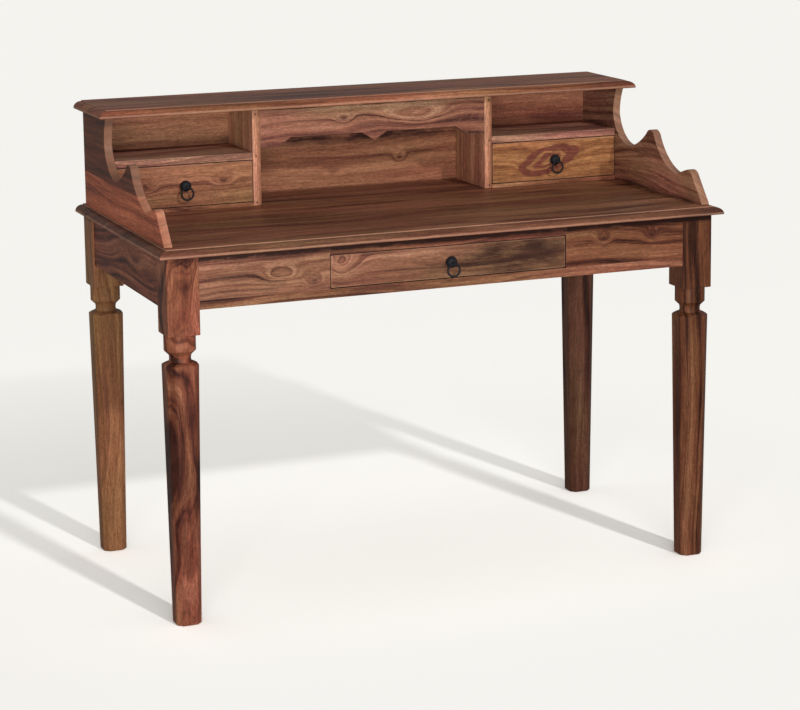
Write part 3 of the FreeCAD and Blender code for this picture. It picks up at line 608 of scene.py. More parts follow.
def heart_field(given, wood, key):
    """Distance from a knot's heart, wobbled a little, with its hump in the field and its strength."""
    along, across, strength = split(given[key])
    wobble = vector("SUBTRACT", grit(wood, *WOBBLE, out=1), (0.5, 0.5, 0.5))
    wobble = vector("MULTIPLY", wobble, (0.75, 0.75, 0.0))
    reach = vector("LENGTH", vector("ADD", join(along, across), wobble))
    near = calc("EXPONENT", reach * reach * -0.9)
    return reach, near * calc("MAXIMUM", calc("MINIMUM", strength, 1.0), strength * -1.0), strength


def figure_group(name):
    """Figure of Indian rosewood.

    Growth lines are the levels of a field: the distance from a pith line that
    wanders beside and below the board, so that they close into long arches, and
    two sizes of slow noise bend them. A knot adds a hump of exp(-0.9 r^2) to the
    field, so the lines part round it and close into a few rings at its heart.
    Bands of golden and purple wood follow the same field, a slow noise turns
    the colour from olive to rose, and fibres and pores are noise drawn out
    along the grain. A dark patch pulls the colour towards the dark wood, both for
    patches in the board and for painted shadow bands under overhangs.
    """
    given, made = new_group(
        name, [(key, VECTOR) for key in ("Wood", "Knot A", "Knot B", "Cloud", "Board")] + [("Spacing", FLOAT)]
        + [(key, COLOUR) for key in STAINS], (("Color", COLOUR), ("Roughness", FLOAT), ("Height", FLOAT)))
    seed, contrast, wave = split(given["Board"])
    wood = vector("ADD", given["Wood"], join(seed * 3.7, seed * 1.3, seed * 2.1))
    own, place = split(given["Wood"]), split(wood)

    # Field and growth lines
    sway = [(noise(join(own[0] * rate, seed, offset), 1.0) - 0.5) * wave for rate, offset in ((1.7, 3.0), (2.4, 11.0))]
    beside = own[1] + sway[0] * SWAY_BESIDE + (split(chance(seed, 1))[0] - 0.5) * PITH_OFFSET
    below = own[2] + PITH_DEPTH + sway[1] * SWAY_BELOW
    bend = (grit(wood, *SLOW) - 0.5) * SLOW_BEND + (grit(wood, *QUICK) - 0.5) * QUICK_BEND
    field = vector("LENGTH", join(beside, below)) + bend * wave
    hearts = [heart_field(given, wood, key) for key in ("Knot A", "Knot B")]
    for _, near, _ in hearts:
        field = field + near * KNOT_HUMP
    lines = field / given["Spacing"]
    lines = lines + noise(join(lines * 0.40, seed), 0.0) * 1.8

    # Bands of colour
    broad = noise(join(lines * 0.55, place[0] * 1.3, seed))
    narrow = noise(join(lines * 2.3, place[0] * 4.0, seed))
    patch = grit(wood, *PATCH)
    figure = broad * BROAD_SHARE + narrow * NARROW_BAND_SHARE + patch * PATCH_SHARE
    figure = (figure - 0.5) * FIGURE_GAIN * contrast + FIGURE_LEVEL
    colour = given["Dark"]
    for key, low, high in BANDS:
        colour = blend(ramp(figure, low, high), colour, given[key])

    # Late wood: a line rises slowly and ends sharply, and only some lines show
    whole = calc("FLOOR", lines)
    part = lines - whole
    line = ramp(part, 0.10, 0.82) * ramp(part, 0.82, 1.0, 1.0, 0.0) * ramp(chance(whole + seed), 0.45, 1.0)
    line = line * ramp(grit(wood, *BROKEN), 0.34, 0.62, 0.20, 1.0)
    line = calc("MULTIPLY", line * contrast, 0.36, clamp=True)
    for _, near, _ in hearts:
        line = line * (1.0 - near * 0.6)
    colour = blend(line, colour, given["Streak"])
    colour = blend(line * line * 0.6, colour, given["Dark"])

    # Knots: halo and heart, and above a strength of 1 a golden eye with rosy rims
    rosy = vector("MULTIPLY", given["Streak"], (1.15, 1.0, 1.3))
    gold = blend(0.25, given["Light"], given["Streak"])
    for reach, _, strength in hearts:
        plain = calc("ADD", strength, 0.0, clamp=True)
        colour = blend(ramp(reach, *HALO, 0.0) * plain, colour, given["Streak"])
        colour = blend(ramp(reach, *HEART, 0.0) * plain, colour, given["Dark"])
        eye = calc("MAXIMUM", strength - 1.0, 0.0)
        colour = blend(ramp(reach, *EYE, 0.0) * eye, colour, gold)
        for middle, *rim in RIMS:
            colour = blend(ramp(calc("ABSOLUTE", reach - middle), *rim, 0.0) * eye, colour, rosy)

    # Blush, dark patches (also painted shadow bands), fibres, flecks, specks and pores
    blush = blend(ramp(grit(wood, *BLUSH), 0.36, 0.64), (0.94, 1.05, 0.96, 1.0), (1.06, 0.95, 1.04, 1.0))
    colour = blend(1.0, colour, blush, "MULTIPLY")
    cloud = split(given["Cloud"])
    patch_and_shade_mask = ramp(vector("LENGTH", join(cloud[0], cloud[1])), 0.4, 1.4, 1.0, 0.0)
    patch_and_shade_mask = patch_and_shade_mask * ramp(grit(wood, *MOTTLE), 0.36, 0.62, 0.45, 1.0)
    colour = blend(patch_and_shade_mask * cloud[2], colour, given["Dark"])
    fibre = grit(wood, *FIBRE)
    pores = ramp(grit(wood, *PORE), 0.60, 0.70)
    tone = ramp(fibre, 0.25, 0.75, 0.76, 1.22) * ramp(grit(wood, *FLECK), 0.3, 0.7, 0.84, 1.14)
    tone = tone * ramp(grit(wood, *SPECK), 0.28, 0.72, 0.74, 1.24)
    scaled(colour, tone * ramp(pores, 0.0, 1.0, 1.0, 0.60)).to(made["Color"])
    (line * 0.05 + pores * 0.16 + patch * 0.12).to(made["Roughness"])
    (fibre * 0.35 - pores * 0.8 - line * 0.25).to(made["Height"])


# The figure's group: its name, what builds it, and its outputs
FIGURE = ("Rosewood figure", figure_group, ("Color", "Roughness", "Height"))


# Materials


def new_material(name):
    """A new material, its tree, and the inputs of its Principled shader."""
    material = bpy.data.materials.new(name)
    material.use_nodes = True
    return material, material.node_tree, material.node_tree.nodes["Principled BSDF"].inputs


def feed(shader, colour, rough, height, strength, distance):
    """Give a shader its colour, its roughness and a bump."""
    colour.to(shader["Base Color"])
    rough.to(shader["Roughness"])
    bump = node(height.tree, "ShaderNodeBump", {"Strength": strength, "Distance": distance, "Height": height})
    bump.to(shader["Normal"])


def own_values(tree, *keys):
    """A piece's own attributes, under the names that a group gives its inputs."""
    return {key: node(tree, "ShaderNodeAttribute", out="Vector", attribute_name=key.lower().replace(" ", "_"))
            for key in keys}


def stains(tone=1.0, towards=(0.0, 0.0, 0.0), share=0.0):
    """The wood's five colours, brightened or mixed with another colour."""
    wood = bpy.context.scene.desk_wood
    return {key: tuple(tone * ((1 - share) * c + share * d) for c, d in zip(getattr(wood, key.lower()), towards))
            + (1.0,) for key in STAINS}


def rosewood(name, gloss=1.0):
    """Stained and polished rosewood that reads each board's own grain."""
    if name in bpy.data.materials:
        return bpy.data.materials[name]
    wood = bpy.context.scene.desk_wood
    material, tree, shader = new_material(name)
    colours = stains()
    place, shade, seam = group(tree, "Glued staves", staves_group, ("Wood", "Tone", "Seam"),
                               own_values(tree, "Wood", "Board", "Stave"))
    colour, rough, height = group(tree, *FIGURE, {
        **own_values(tree, "Knot A", "Knot B", "Cloud", "Board"), "Wood": place, "Spacing": wood.spacing, **colours})
    colour = vector("MULTIPLY", scaled(colour, shade + 1.0), own_values(tree, "Tint")["Tint"])
    seam_share, wear_and_highlight_share, shade_and_darkening_share, seam_dip = 0.75, 0.45, 0.9, 1.2
    colour = blend(seam * seam_share, colour, colours["Dark"])
    # Arris value above zero: wear and a painted highlight in a pinker pale; below zero: painted shade, and the darker
    # curve of the desktop's moulding
    wear_and_shading = node(tree, "ShaderNodeAttribute", out="Fac", attribute_name="arris")
    edge_wear_and_shading = tuple(np.array(colours["Pale"]) * (1.0, 1.12, 1.4, 1.0))
    colour = blend(calc("MULTIPLY", wear_and_shading, wear_and_highlight_share, clamp=True), colour, edge_wear_and_shading)
    colour = blend(calc("MULTIPLY", wear_and_shading, -shade_and_darkening_share, clamp=True), colour, colours["Dark"])
    feed(shader, colour, rough + (wood.polish - 0.06), height - seam * seam_dip, strength=0.35, distance=0.00035)
    shader["Specular IOR Level"].default_value = wood.gloss * gloss
    return material


def inner_wood(name, along, tone=1.0):
    """Plain planed wood inside the desk, with its grain along one axis of the desk."""
    if name in bpy.data.materials:
        return bpy.data.materials[name]
    material, tree, shader = new_material(name)
    turn = -math.pi / 2 if along == "y" else 0.0
    place = node(tree, "ShaderNodeTexCoord", out="Object")
    place = node(tree, "ShaderNodeMapping", {"Vector": place, "Rotation": (0.0, 0.0, turn)})
    colour, rough, height = group(tree, *FIGURE, {
        "Wood": place, **dict.fromkeys(("Knot A", "Knot B", "Cloud"), NOWHERE), "Board": (tone * 3, 0.6, 1.0),
        "Spacing": bpy.context.scene.desk_wood.spacing, **stains(tone, (0.40, 0.24, 0.13), 0.45)})
    feed(shader, colour, rough + 0.5, height, strength=0.3, distance=0.0003)
    shader["Specular IOR Level"].default_value = 0.2
    return material


def iron_material(name, colour, rough, metallic):
    """Waxed iron: faint hammer marks in the bump and rubbed patches in the roughness."""
    if name in bpy.data.materials:
        return bpy.data.materials[name]
    material, tree, shader = new_material(name)
    place = node(tree, "ShaderNodeTexCoord", out="Object")
    patch = grit(place, *HAMMERED)
    paler = tuple(min(1.0, c * 2.4 + 0.006) for c in colour[:3]) + (1.0,)
    height = patch + grit(place, *GRAINY) * 0.3
    feed(shader, blend(ramp(patch, 0.42, 0.70) * 0.5, colour, paler),
         ramp(patch, 0.3, 0.7, rough + 0.08, rough - 0.06), height,
         strength=0.3, distance=0.0004)
    shader["Metallic"].default_value = metallic
    return material


# Pieces


class DESK_OT_tops(bpy.types.Operator):
    """Desktop and hutch top: a flat board with a thumbnail moulding on its front and both ends."""

    bl_idname = "desk.tops"
    bl_label = "Tops"

    def execute(self, context):
        shapes = context.scene.desk_shapes
        # Seed, tint, staves and how much darker the moulding's curve is
        boards = (("desktop", 3.0, (0.88, 0.83, 0.86), (0.104, -0.262, 0.34), -0.55),
                  ("hutch_top", 8.0, (0.94, 0.79, 0.75), (0.083, 0.083, 0.25), 0.0))
        for name, seed, tint, stave, cove_darkening in boards:
            low, high = span(name)
            piece = self.moulded(name + "_board", low, high, shapes, cove_darkening)
            grain(piece, "xyz", seed, tint, 0.9, 0.10, stave=stave)
            dress(piece, "desk", rosewood("rosewood_top"), [name])
        return {"FINISHED"}

    @staticmethod
    def moulded(name, low, high, shapes, cove_darkening):
        """Rings that rise from the underside to the flat.

        Each ring is the board's rectangle drawn in by a reach on the front and
        both ends, never on the back. The reach is 0 up the nose, then follows
        the circle through the foot, belly and head of the thumbnail curve, then
        stays while the quirk rises to the flat. The underside's arris is painted
        dark as the shadow line under the nose, the nose and the flat's arris are
        painted pale as highlights, and the curve between is made darker by the
        board's own amount.
        """
        thick = high[2] - low[2]
        head = (shapes.run, thick - shapes.quirk)
        belly_in, belly_up = 0.28, 0.68
        belly = (belly_in * shapes.run, shapes.nose + belly_up * (head[1] - shapes.nose))
        curve = arc_through((0.0, shapes.nose), belly, head, 9)
        ease = shapes.ease * 0.6
        brow = shapes.ease * 1.5
        steps = np.array([(ease, 0.0), (ease * 0.3, ease * 0.3), (0.0, ease), (0.0, shapes.nose - ease * 0.5),
                          *curve[1:], (shapes.run, thick - brow), (shapes.run + brow * 0.3, thick - brow * 0.3),
                          (shapes.run + brow, thick)])
        wear_and_shading = np.zeros(len(steps))
        # Underside's arris painted dark as the shadow line under the nose, nose and flat's arris painted pale as
        # highlights, the curve darkened
        wear_and_shading[:4] = (-1.0, -1.0, 0.2, 1.2)
        wear_and_shading[4:-3] = cove_darkening
        wear_and_shading[-2] = 1.6
        reach, rise = steps[:, 0], steps[:, 1]
        corners = [(low[0] + reach, low[1] + reach), (high[0] - reach, low[1] + reach),
                   (high[0] - reach, np.full_like(reach, high[1])), (low[0] + reach, np.full_like(reach, high[1]))]
        loops = np.stack([np.stack(corner, 1) for corner in corners], 1)
        loops = np.array([soften(loop, 0.0012) for loop in loops])
        return surface(name, lay(loops, low[2] + rise, "z"), arris=wear_and_shading)


class DESK_OT_legs(bpy.types.Operator):
    """Four legs: square block, turned collar and neck, and a tapering octagonal shaft."""

    bl_idname = "desk.legs"
    bl_label = "Legs"

    def execute(self, context):
        # A band painted dark at the top of the block, as the shadow under the desktop
        under = (span("leg_front_left")[1][2], 0.0, 0.013, 5.0, 2.0)
        # Seed, tint, contrast, waviness and dark patch: the front left leg's is in its wood, two others take the
        # painted shadow band
        woods = {"leg_front_left": (11.0, (0.85, 0.61, 0.62), 1.6, 1.5, (0.27, -0.55, 0.26, 0.2, 0.55)),
                 "leg_front_right": (12.0, (0.50, 0.42, 0.36), 1.2, 0.35, under),
                 "leg_back_left": (13.0, (1.04, 1.09, 0.90), 0.65, 0.25, under),
                 "leg_back_right": (14.0, (0.36, 0.36, 0.36), 1.0, 0.35, None)}
        for name, (*wood, cloud) in woods.items():
            framed(self.turned(name + "_turned", *span(name)), name, "zxy", *wood, cloud=cloud)
        return {"FINISHED"}

    @staticmethod
    def turned(name, low, high):
        """Radius against angle, ring by ring.

        An outline of flats has the radius 1 / |cos(a - n) / d|, where n and d are
        each flat's normal and distance and the bars stand for the p-norm over the
        flats that face the angle a; p of 60 eases the corners. The block has four
        flats and the shaft eight, wide ones in line with the block's and narrower
        ones across the corners. The collar and neck are circles. The shoulder
        takes its level from the circle's arc between neck and shaft, so its rim
        is low at the shaft's corners and high on its flats.
        """
        centre = (low + high)[:2] / 2
        block = (high - low)[0] / 2
        foot = high[2] - BLOCK_HEIGHT
        square = math.pi / 2 * np.arange(4)
        bend = math.atan(NARROW_SHARE)
        bends = np.concatenate([square + bend, square - bend, square + math.pi / 4])
        near = np.radians([0.0, 0.5, 1.2, 2.5, 5.0, 9.0])
        angle = (bends[:, None] + np.concatenate([near, -near])).ravel()
        angle = np.unique(np.round(np.concatenate([angle, square]) % math.tau, 6))

        def outline(normals, away, norm=60):
            facing = np.clip(np.cos(angle[:, None] - normals), 0, None) / away
            return 1 / (facing ** norm).sum(1) ** (1 / norm)

        ring, four = np.ones_like(angle), outline(square, np.ones(4))
        eight = outline(np.concatenate([square, square + math.pi / 4]),
                        np.repeat([1.0, (1 + NARROW_SHARE) / math.sqrt(2)], 4))

        def shaft(level):
            return (SHAFT_FOOT + (SHAFT_HEAD - SHAFT_FOOT) * level / SHAFT_RUN) * eight

        bend_x, bend_z = SHOULDER_SHARES
        shoulder = arc_through((NECK_FOOT, -NECK_DROP),
                               (NECK_FOOT + bend_x * SHOULDER_REACH, -NECK_DROP - bend_z * SHOULDER_DROP),
                               (NECK_FOOT + SHOULDER_REACH, -NECK_DROP - SHOULDER_DROP), 60)

        def fall(radius):
            return foot + np.interp(radius, shoulder[:, 0], shoulder[:, 1])

        rim = shaft(foot - RIM_DROP)
        rows = [(0.0, shaft(0) - 0.002), (0.0006, shaft(0) - 0.0008), (0.002, shaft(0))]
        rows += [(level, shaft(level)) for level in (0.01, 0.25, foot - 0.066)]
        rows += [(fall(rim) - 0.0006, rim)]
        rows += [(fall(radius), radius) for radius in
                 (rim + (NECK_FOOT - rim) * part for part in (0.04, 0.10, 0.22, 0.40, 0.60, 0.80, 1.0))]
        neck = arc_through((NECK_FOOT, -NECK_DROP), *NECK_CURVE, 8)[1:]
        rows += [(foot + drop, radius * ring) for radius, drop in (*neck, *COLLAR)]
        rows += [(foot, (COLLAR[-1][0] + 0.0001) * ring), (foot, (block - 0.0008) * four),
                 (foot + 0.0003, (block - 0.0003) * four), (foot + 0.001, block * four),
                 (high[2] - 0.001, block * four), (high[2], (block - 0.001) * four)]
        levels = np.array([level * ring for level, _ in rows])
        radii = np.array([radius for _, radius in rows])
        rings = np.stack([centre[0] + radii * np.cos(angle), centre[1] + radii * np.sin(angle), levels], -1)
        piece = surface(name, rings)
        piece.data.set_sharp_from_angle(angle=math.radians(42))
        return piece


class DESK_OT_aprons(bpy.types.Operator):
    """Front apron round the drawer opening, back apron and the two end aprons."""

    bl_idname = "desk.aprons"
    bl_label = "Aprons"

    def execute(self, context):
        ease = context.scene.desk_shapes.ease
        inner, back = span("leg_front_left")[1], span("leg_back_left")[0]
        low, high = span("apron_front")
        drawer_low, drawer_high = span("drawer_front_centre")
        left, under = drawer_low[0] - DRAWER_GAP, drawer_low[2] - DRAWER_GAP
        right, over = drawer_high[0] + DRAWER_GAP, drawer_high[2] + DRAWER_GAP
        # Two corners, then seed, tint, contrast and knots
        rails = {
            "rail_low": ((inner[0], low[2]), (-inner[0], under), 21.0, (0.86, 0.82, 0.84), 1.0, ()),
            "rail_high": ((left, over), (right, high[2]), 22.0, (0.80, 0.74, 0.76), 1.0, ()),
            "end_left": ((inner[0], under), (left, high[2]), 23.0, (1.03, 1.04, 1.18), 0.85,
                         ((-0.350, 0.678, 0.032, 0.013, -1.3), (-0.285, 0.660, 0.015, 0.009, 0.95))),
            "end_right": ((right, under), (-inner[0], high[2]), 26.0, (0.64, 0.52, 0.50), 1.3,
                          ((0.335, 0.694, 0.015, 0.010, 0.9), (0.446, 0.694, 0.014, 0.010, 0.9)))}
        for name, (start, end, *wood, knots) in rails.items():
            # Each rail's edges are painted dark as shade in the gaps, and a band along the apron's top is painted dark
            # as the shadow under the desktop
            piece = board(f"apron_front_{name}", (start[0], low[1], start[1]), (end[0], high[1], end[1]),
                          ease * 0.3, "y", edge_wear_and_shading=-1.0)
            framed(piece, "apron_front", "xzy", *wood, 0.45, knots=knots, cloud=(0.0, high[2], 5.0, 0.014, 2.0))
        low, high = span("apron_back")
        plank("apron_back", (inner[0], low[1], low[2]), (-inner[0], high[1], high[2]), ease * 0.6,
              "xzy", 22.5, (0.85, 0.82, 0.80))
        for side_name, seed in (("left", 24.0), ("right", 25.0)):
            name = f"apron_{side_name}"
            low, high = span(name)
            plank(name, (low[0], inner[1], low[2]), (high[0], back[1], high[2]), ease * 0.6,
                  "yzx", seed, (0.86, 0.58, 0.62), 1.5, 0.9, knots=((-0.06, 0.685, 0.045, 0.020, 0.5),))
        return {"FINISHED"}


class DESK_OT_hutch(bpy.types.Operator):
    """Scalloped sides, dividers, shelves, bay floors, valance and back of the hutch."""

    bl_idname = "desk.hutch"
    bl_label = "Hutch"

    def execute(self, context):
        ease = context.scene.desk_shapes.ease
        floor = span("desktop")[1][2]
        roof = span("hutch_top")[0][2]
        front = span("valance")[0][1]
        # Tint, its factor on the lowest face, which paints shade onto the left side's outer face and light onto the
        # right side's inner face, and how the two staves differ
        tints = {"left": ((1.10, 1.02, 1.05), (0.95, 0.68, 0.54), -0.85),
                 "right": ((1.05, 1.05, 1.10), (1.15, 1.2, 1.35), -0.3)}
        for side_name, side in SIDES:
            name = f"side_panel_{side_name}"
            low, high = span(name)
            tint, fade, turns = tints[side_name]
            # The sides' arrises are pale, as wear and a painted highlight
            piece = slab(name + "_board", self.scallops(low[1], front, high[1], floor, roof),
                         low[0], high[0], "x", ease, edge_wear_and_shading=0.8)
            framed(piece, name, "yzx", 31.0 + side, tint, 0.95, 0.5, stave=(0.140, floor - 0.066, turns), fade=fade)
            name = f"divider_{side_name}"
            low, high = span(name)
            # The face factor lifts each divider's face towards -x, which lies in shade, as painted light
            plank(name, (low[0], low[1], floor), (high[0], high[1], roof), ease,
                  "zyx", 35.0 + side, (1.00, 0.96, 0.88), 0.55, 0.4, fade=(2.10, 2.50, 3.05))
            bay_low, bay_high = span(f"bay_floor_{side_name}")
            name = f"shelf_{side_name}"
            low, high = span(name)
            # The shelves' tint is lifted and cooled as painted light, against the shade in the bays
            plank(name, (bay_low[0], low[1], low[2]), (bay_high[0], high[1], high[2]), ease,
                  "xyz", 38.0 + side, (1.47, 1.66, 2.10), 1.0, 0.3)
            plank(f"bay_floor_{side_name}", bay_low, bay_high, ease * 0.6,
                  "xyz", 41.0 + side, (1.15, 1.02, 1.04), 0.8, 0.3)
        # The back's tint is lifted as painted light against the shade in the bays, and a band under the valance is
        # painted dark as its shadow
        plank("hutch_back", *span("hutch_back"), ease * 0.6, "xzy", 45.0, (1.27, 1.22, 1.27), 0.5, 0.2,
              knots=((0.12, 0.80, 0.012, 0.010, 0.8),), cloud=(0.02, floor + 0.117, 0.33, 0.022, 1.15),
              stave=(0.105, floor + 0.002, 0.14))
        low, high = span("valance")
        # The valance's edge faces are painted dark as the shadow line round it, and a band along its top is painted
        # dark as the shadow under the hutch top
        piece = slab("valance_board", self.valance(low, high), low[1], high[1], "y", ease * 0.8, edge_wear_and_shading=-1.6)
        framed(piece, "valance", "xzy", 46.0, (1.11, 1.17, 1.31), 0.9, 0.35,
               knots=((-0.068, 0.917, 0.015, 0.008, 0.95), (0.090, 0.918, 0.055, 0.016, -1.4)),
               cloud=(0.0, high[2], 5.0, 0.006, 1.5))
        self.plugs(floor, roof, front)
        return {"FINISHED"}

    @staticmethod
    def scallops(foot, front, back, floor, roof):
        """Outline of a side: seven arcs, each through three points given as shares.

        The first share runs forward from the hutch's front over the gallery's
        run, the second up from the desktop over the hutch's rise.
        """
        run, rise = front - foot, roof - floor
        shares = np.array(SCALLOPS)
        points = np.stack([front - shares[:, 0] * run, floor + shares[:, 1] * rise], 1)
        edge = [arc_through(*points[start:start + 3])[:-1] for start in range(0, len(points) - 2, 2)]
        return np.concatenate([*edge, points[-1:], [(foot, floor), (back, floor), (back, roof)]])

    @staticmethod
    def valance(low, high):
        """Outline of the valance: straight steps, slopes and a point in the middle."""
        half, foot, slope, point = high[0], *VALANCE_SHARES
        left = [(-1.0, 0.0), (-foot, 0.0), (-slope, VALANCE_RISE), (-point, VALANCE_RISE), (0.0, 0.0)]
        edge = left + [(-share, lift) for share, lift in left[-2::-1]]
        return np.array([(share * half, low[2] + lift) for share, lift in edge] +
                        [(half, high[2]), (-half, high[2])])

    @staticmethod
    def plugs(floor, roof, front):
        """Filled nail holes on the dividers' fronts: shallow domes of dark filler."""
        radius = bpy.context.scene.desk_shapes.plug * np.array([1.0, 0.97, 0.8, 0.4])
        proud = np.array([0.0, 0.00015, 0.00028, 0.0003])
        for side_name, side in SIDES:
            low, high = span(f"divider_{side_name}")
            middle = (low[0] + high[0]) / 2 + 0.0015 * side
            for number, level in enumerate((floor + 0.007, floor + 0.104, roof - 0.012)):
                piece = spun(f"plug_{side_name}_{number}", (middle, front + 0.0003, level), radius, -proud, 20)
                grain(piece, "xzy", 50.0 + number, (0.09, 0.07, 0.09))
                dress(piece, "desk", rosewood("dark_filler", 0.5))


class DESK_OT_drawers(bpy.types.Operator):
    """Drawer fronts with eased arrises, and the finish of each drawer's other boards."""

    bl_idname = "desk.drawers"
    bl_label = "Drawers"

    def execute(self, context):
        ease = context.scene.desk_shapes.front_ease
        # Seed, tint, contrast, waviness, knots and a dark patch in the wood
        woods = {"centre": (61.0, (0.94, 1.01, 1.06), 1.0, 0.5, ((-0.228, 0.690, 0.030, 0.024, -1.8),),
                            (0.150, 0.676, 0.130, 0.050, 0.95)),
                 "left": (64.0, (1.16, 1.24, 1.16), 0.6, 0.15,
                          ((-0.502, 0.800, 0.020, 0.013, 1.0), (-0.335, 0.802, 0.018, 0.011, 1.0))),
                 "right": (67.0, (1.30, 1.20, 1.00), 0.6, 0.2, ((0.402, 0.797, 0.062, 0.026, 2.3, 0.55),))}
        for name, wood in woods.items():
            front = f"drawer_front_{name}"
            # The front's edge faces are painted dark as the shade in the gaps round the drawer
            piece = board(front + "_board", *span(front), ease, edge_wear_and_shading=-1.0)
            grain(piece, "xzy", *wood)
            dress(piece, f"drawer_{name}", rosewood("rosewood_drawer"), [front])
            for side_name, _ in SIDES:
                paint(f"drawer_side_{name}_{side_name}", inner_wood("planed_along", "y"))
            paint(f"drawer_back_{name}", inner_wood("planed_across", "x"))
            paint(f"drawer_bottom_{name}", inner_wood("veneered_ply", "x", 1.25))
        return {"FINISHED"}


class DESK_OT_pulls(bpy.types.Operator):
    """Blackened iron pulls: a domed knob with its eye, a ring, and the nut inside the drawer."""

    bl_idname = "desk.pulls"
    bl_label = "Pulls"

    def execute(self, context):
        iron = context.scene.desk_iron
        black = iron_material("black_iron", iron.colour, iron.rough, 0.0)
        steel = iron_material("steel", (0.42, 0.42, 0.43, 1.0), 0.34, 1.0)
        for name in DRAWERS:
            body = f"drawer_{name}"
            low, high = span(f"drawer_front_{name}")
            at = np.array([(low[0] + high[0]) / 2, low[1], (low[2] + high[2]) / 2])
            dress(self.knob(f"knob_{name}", at), body, black, [f"pull_knob_{name}"])
            eye = self.torus(f"eye_{name}", at + EYE_OFF, EYE_RADIUS, EYE_WALL, WIRE, "x")
            dress(eye, body, black)
            stem = spun(f"stem_{name}", at, (STEM, STEM, STEM - 0.0005), (0.001, STEM_END - 0.0005, STEM_END), 24)
            dress(stem, body, steel)
            ring = self.torus(f"ring_{name}", at + RING_OFF, RING_RADIUS, WIRE, WIRE, "y")
            dress(ring, f"ring_{name}", black, [f"pull_ring_{name}"])
            paint(f"pull_nut_{name}", steel)
        return {"FINISHED"}

    @staticmethod
    def knob(name, at):
        """A dome turned about the way out of the drawer: radius against height above the face."""
        height, radius = np.array(KNOB).T
        fine, along = np.linspace(0, 1, 34), np.linspace(0, 1, len(height))
        return spun(name, at, np.interp(fine, along, radius), -np.interp(fine, along, height), 56)

    @staticmethod
    def torus(name, at, radius, thick, wide, axis):
        """A ring of round or flattened wire.

        A point is centre + (R + t cos v) (cos u, sin u) in the ring's plane and
        w sin v along its axis, with u round the ring and v round the wire.
        """
        around, across = 72, 20
        u = np.linspace(0, math.tau, around, endpoint=False)[:, None]
        v = np.linspace(0, math.tau, across, endpoint=False)[None, :]
        rings = np.empty((around, across, 3))
        up, first, second = AXES[axis]
        rings[..., up] = at[up] + wide * np.sin(v) + 0 * u
        rings[..., first] = at[first] + (radius + thick * np.cos(v)) * np.cos(u)
        rings[..., second] = at[second] + (radius + thick * np.cos(v)) * np.sin(u)
        return surface(name, rings, stack_joined=True)


class DESK_OT_inside(bpy.types.Operator):
    """Finish of the wood inside the desk: runners, kickers and corner braces."""

    bl_idname = "desk.inside"
    bl_label = "Inside"

    def execute(self, context):
        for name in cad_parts:
            if name.startswith(("drawer_runner", "drawer_kicker")):
                paint(name, inner_wood("planed_along", "y"))
            if name.startswith("corner_brace"):
                paint(name, inner_wood("planed_across", "x"))
        return {"FINISHED"}


def seen_share(tree, studio):
    """How much of the pale paper a ray sees: all for the camera and through glass, a share in reflections."""
    camera, clear, glossy = node(tree, "ShaderNodeLightPath",
                                 out=("Is Camera Ray", "Is Transmission Ray", "Is Glossy Ray"))
    return calc("MAXIMUM", calc("MAXIMUM", camera, clear), glossy * studio.mirror)


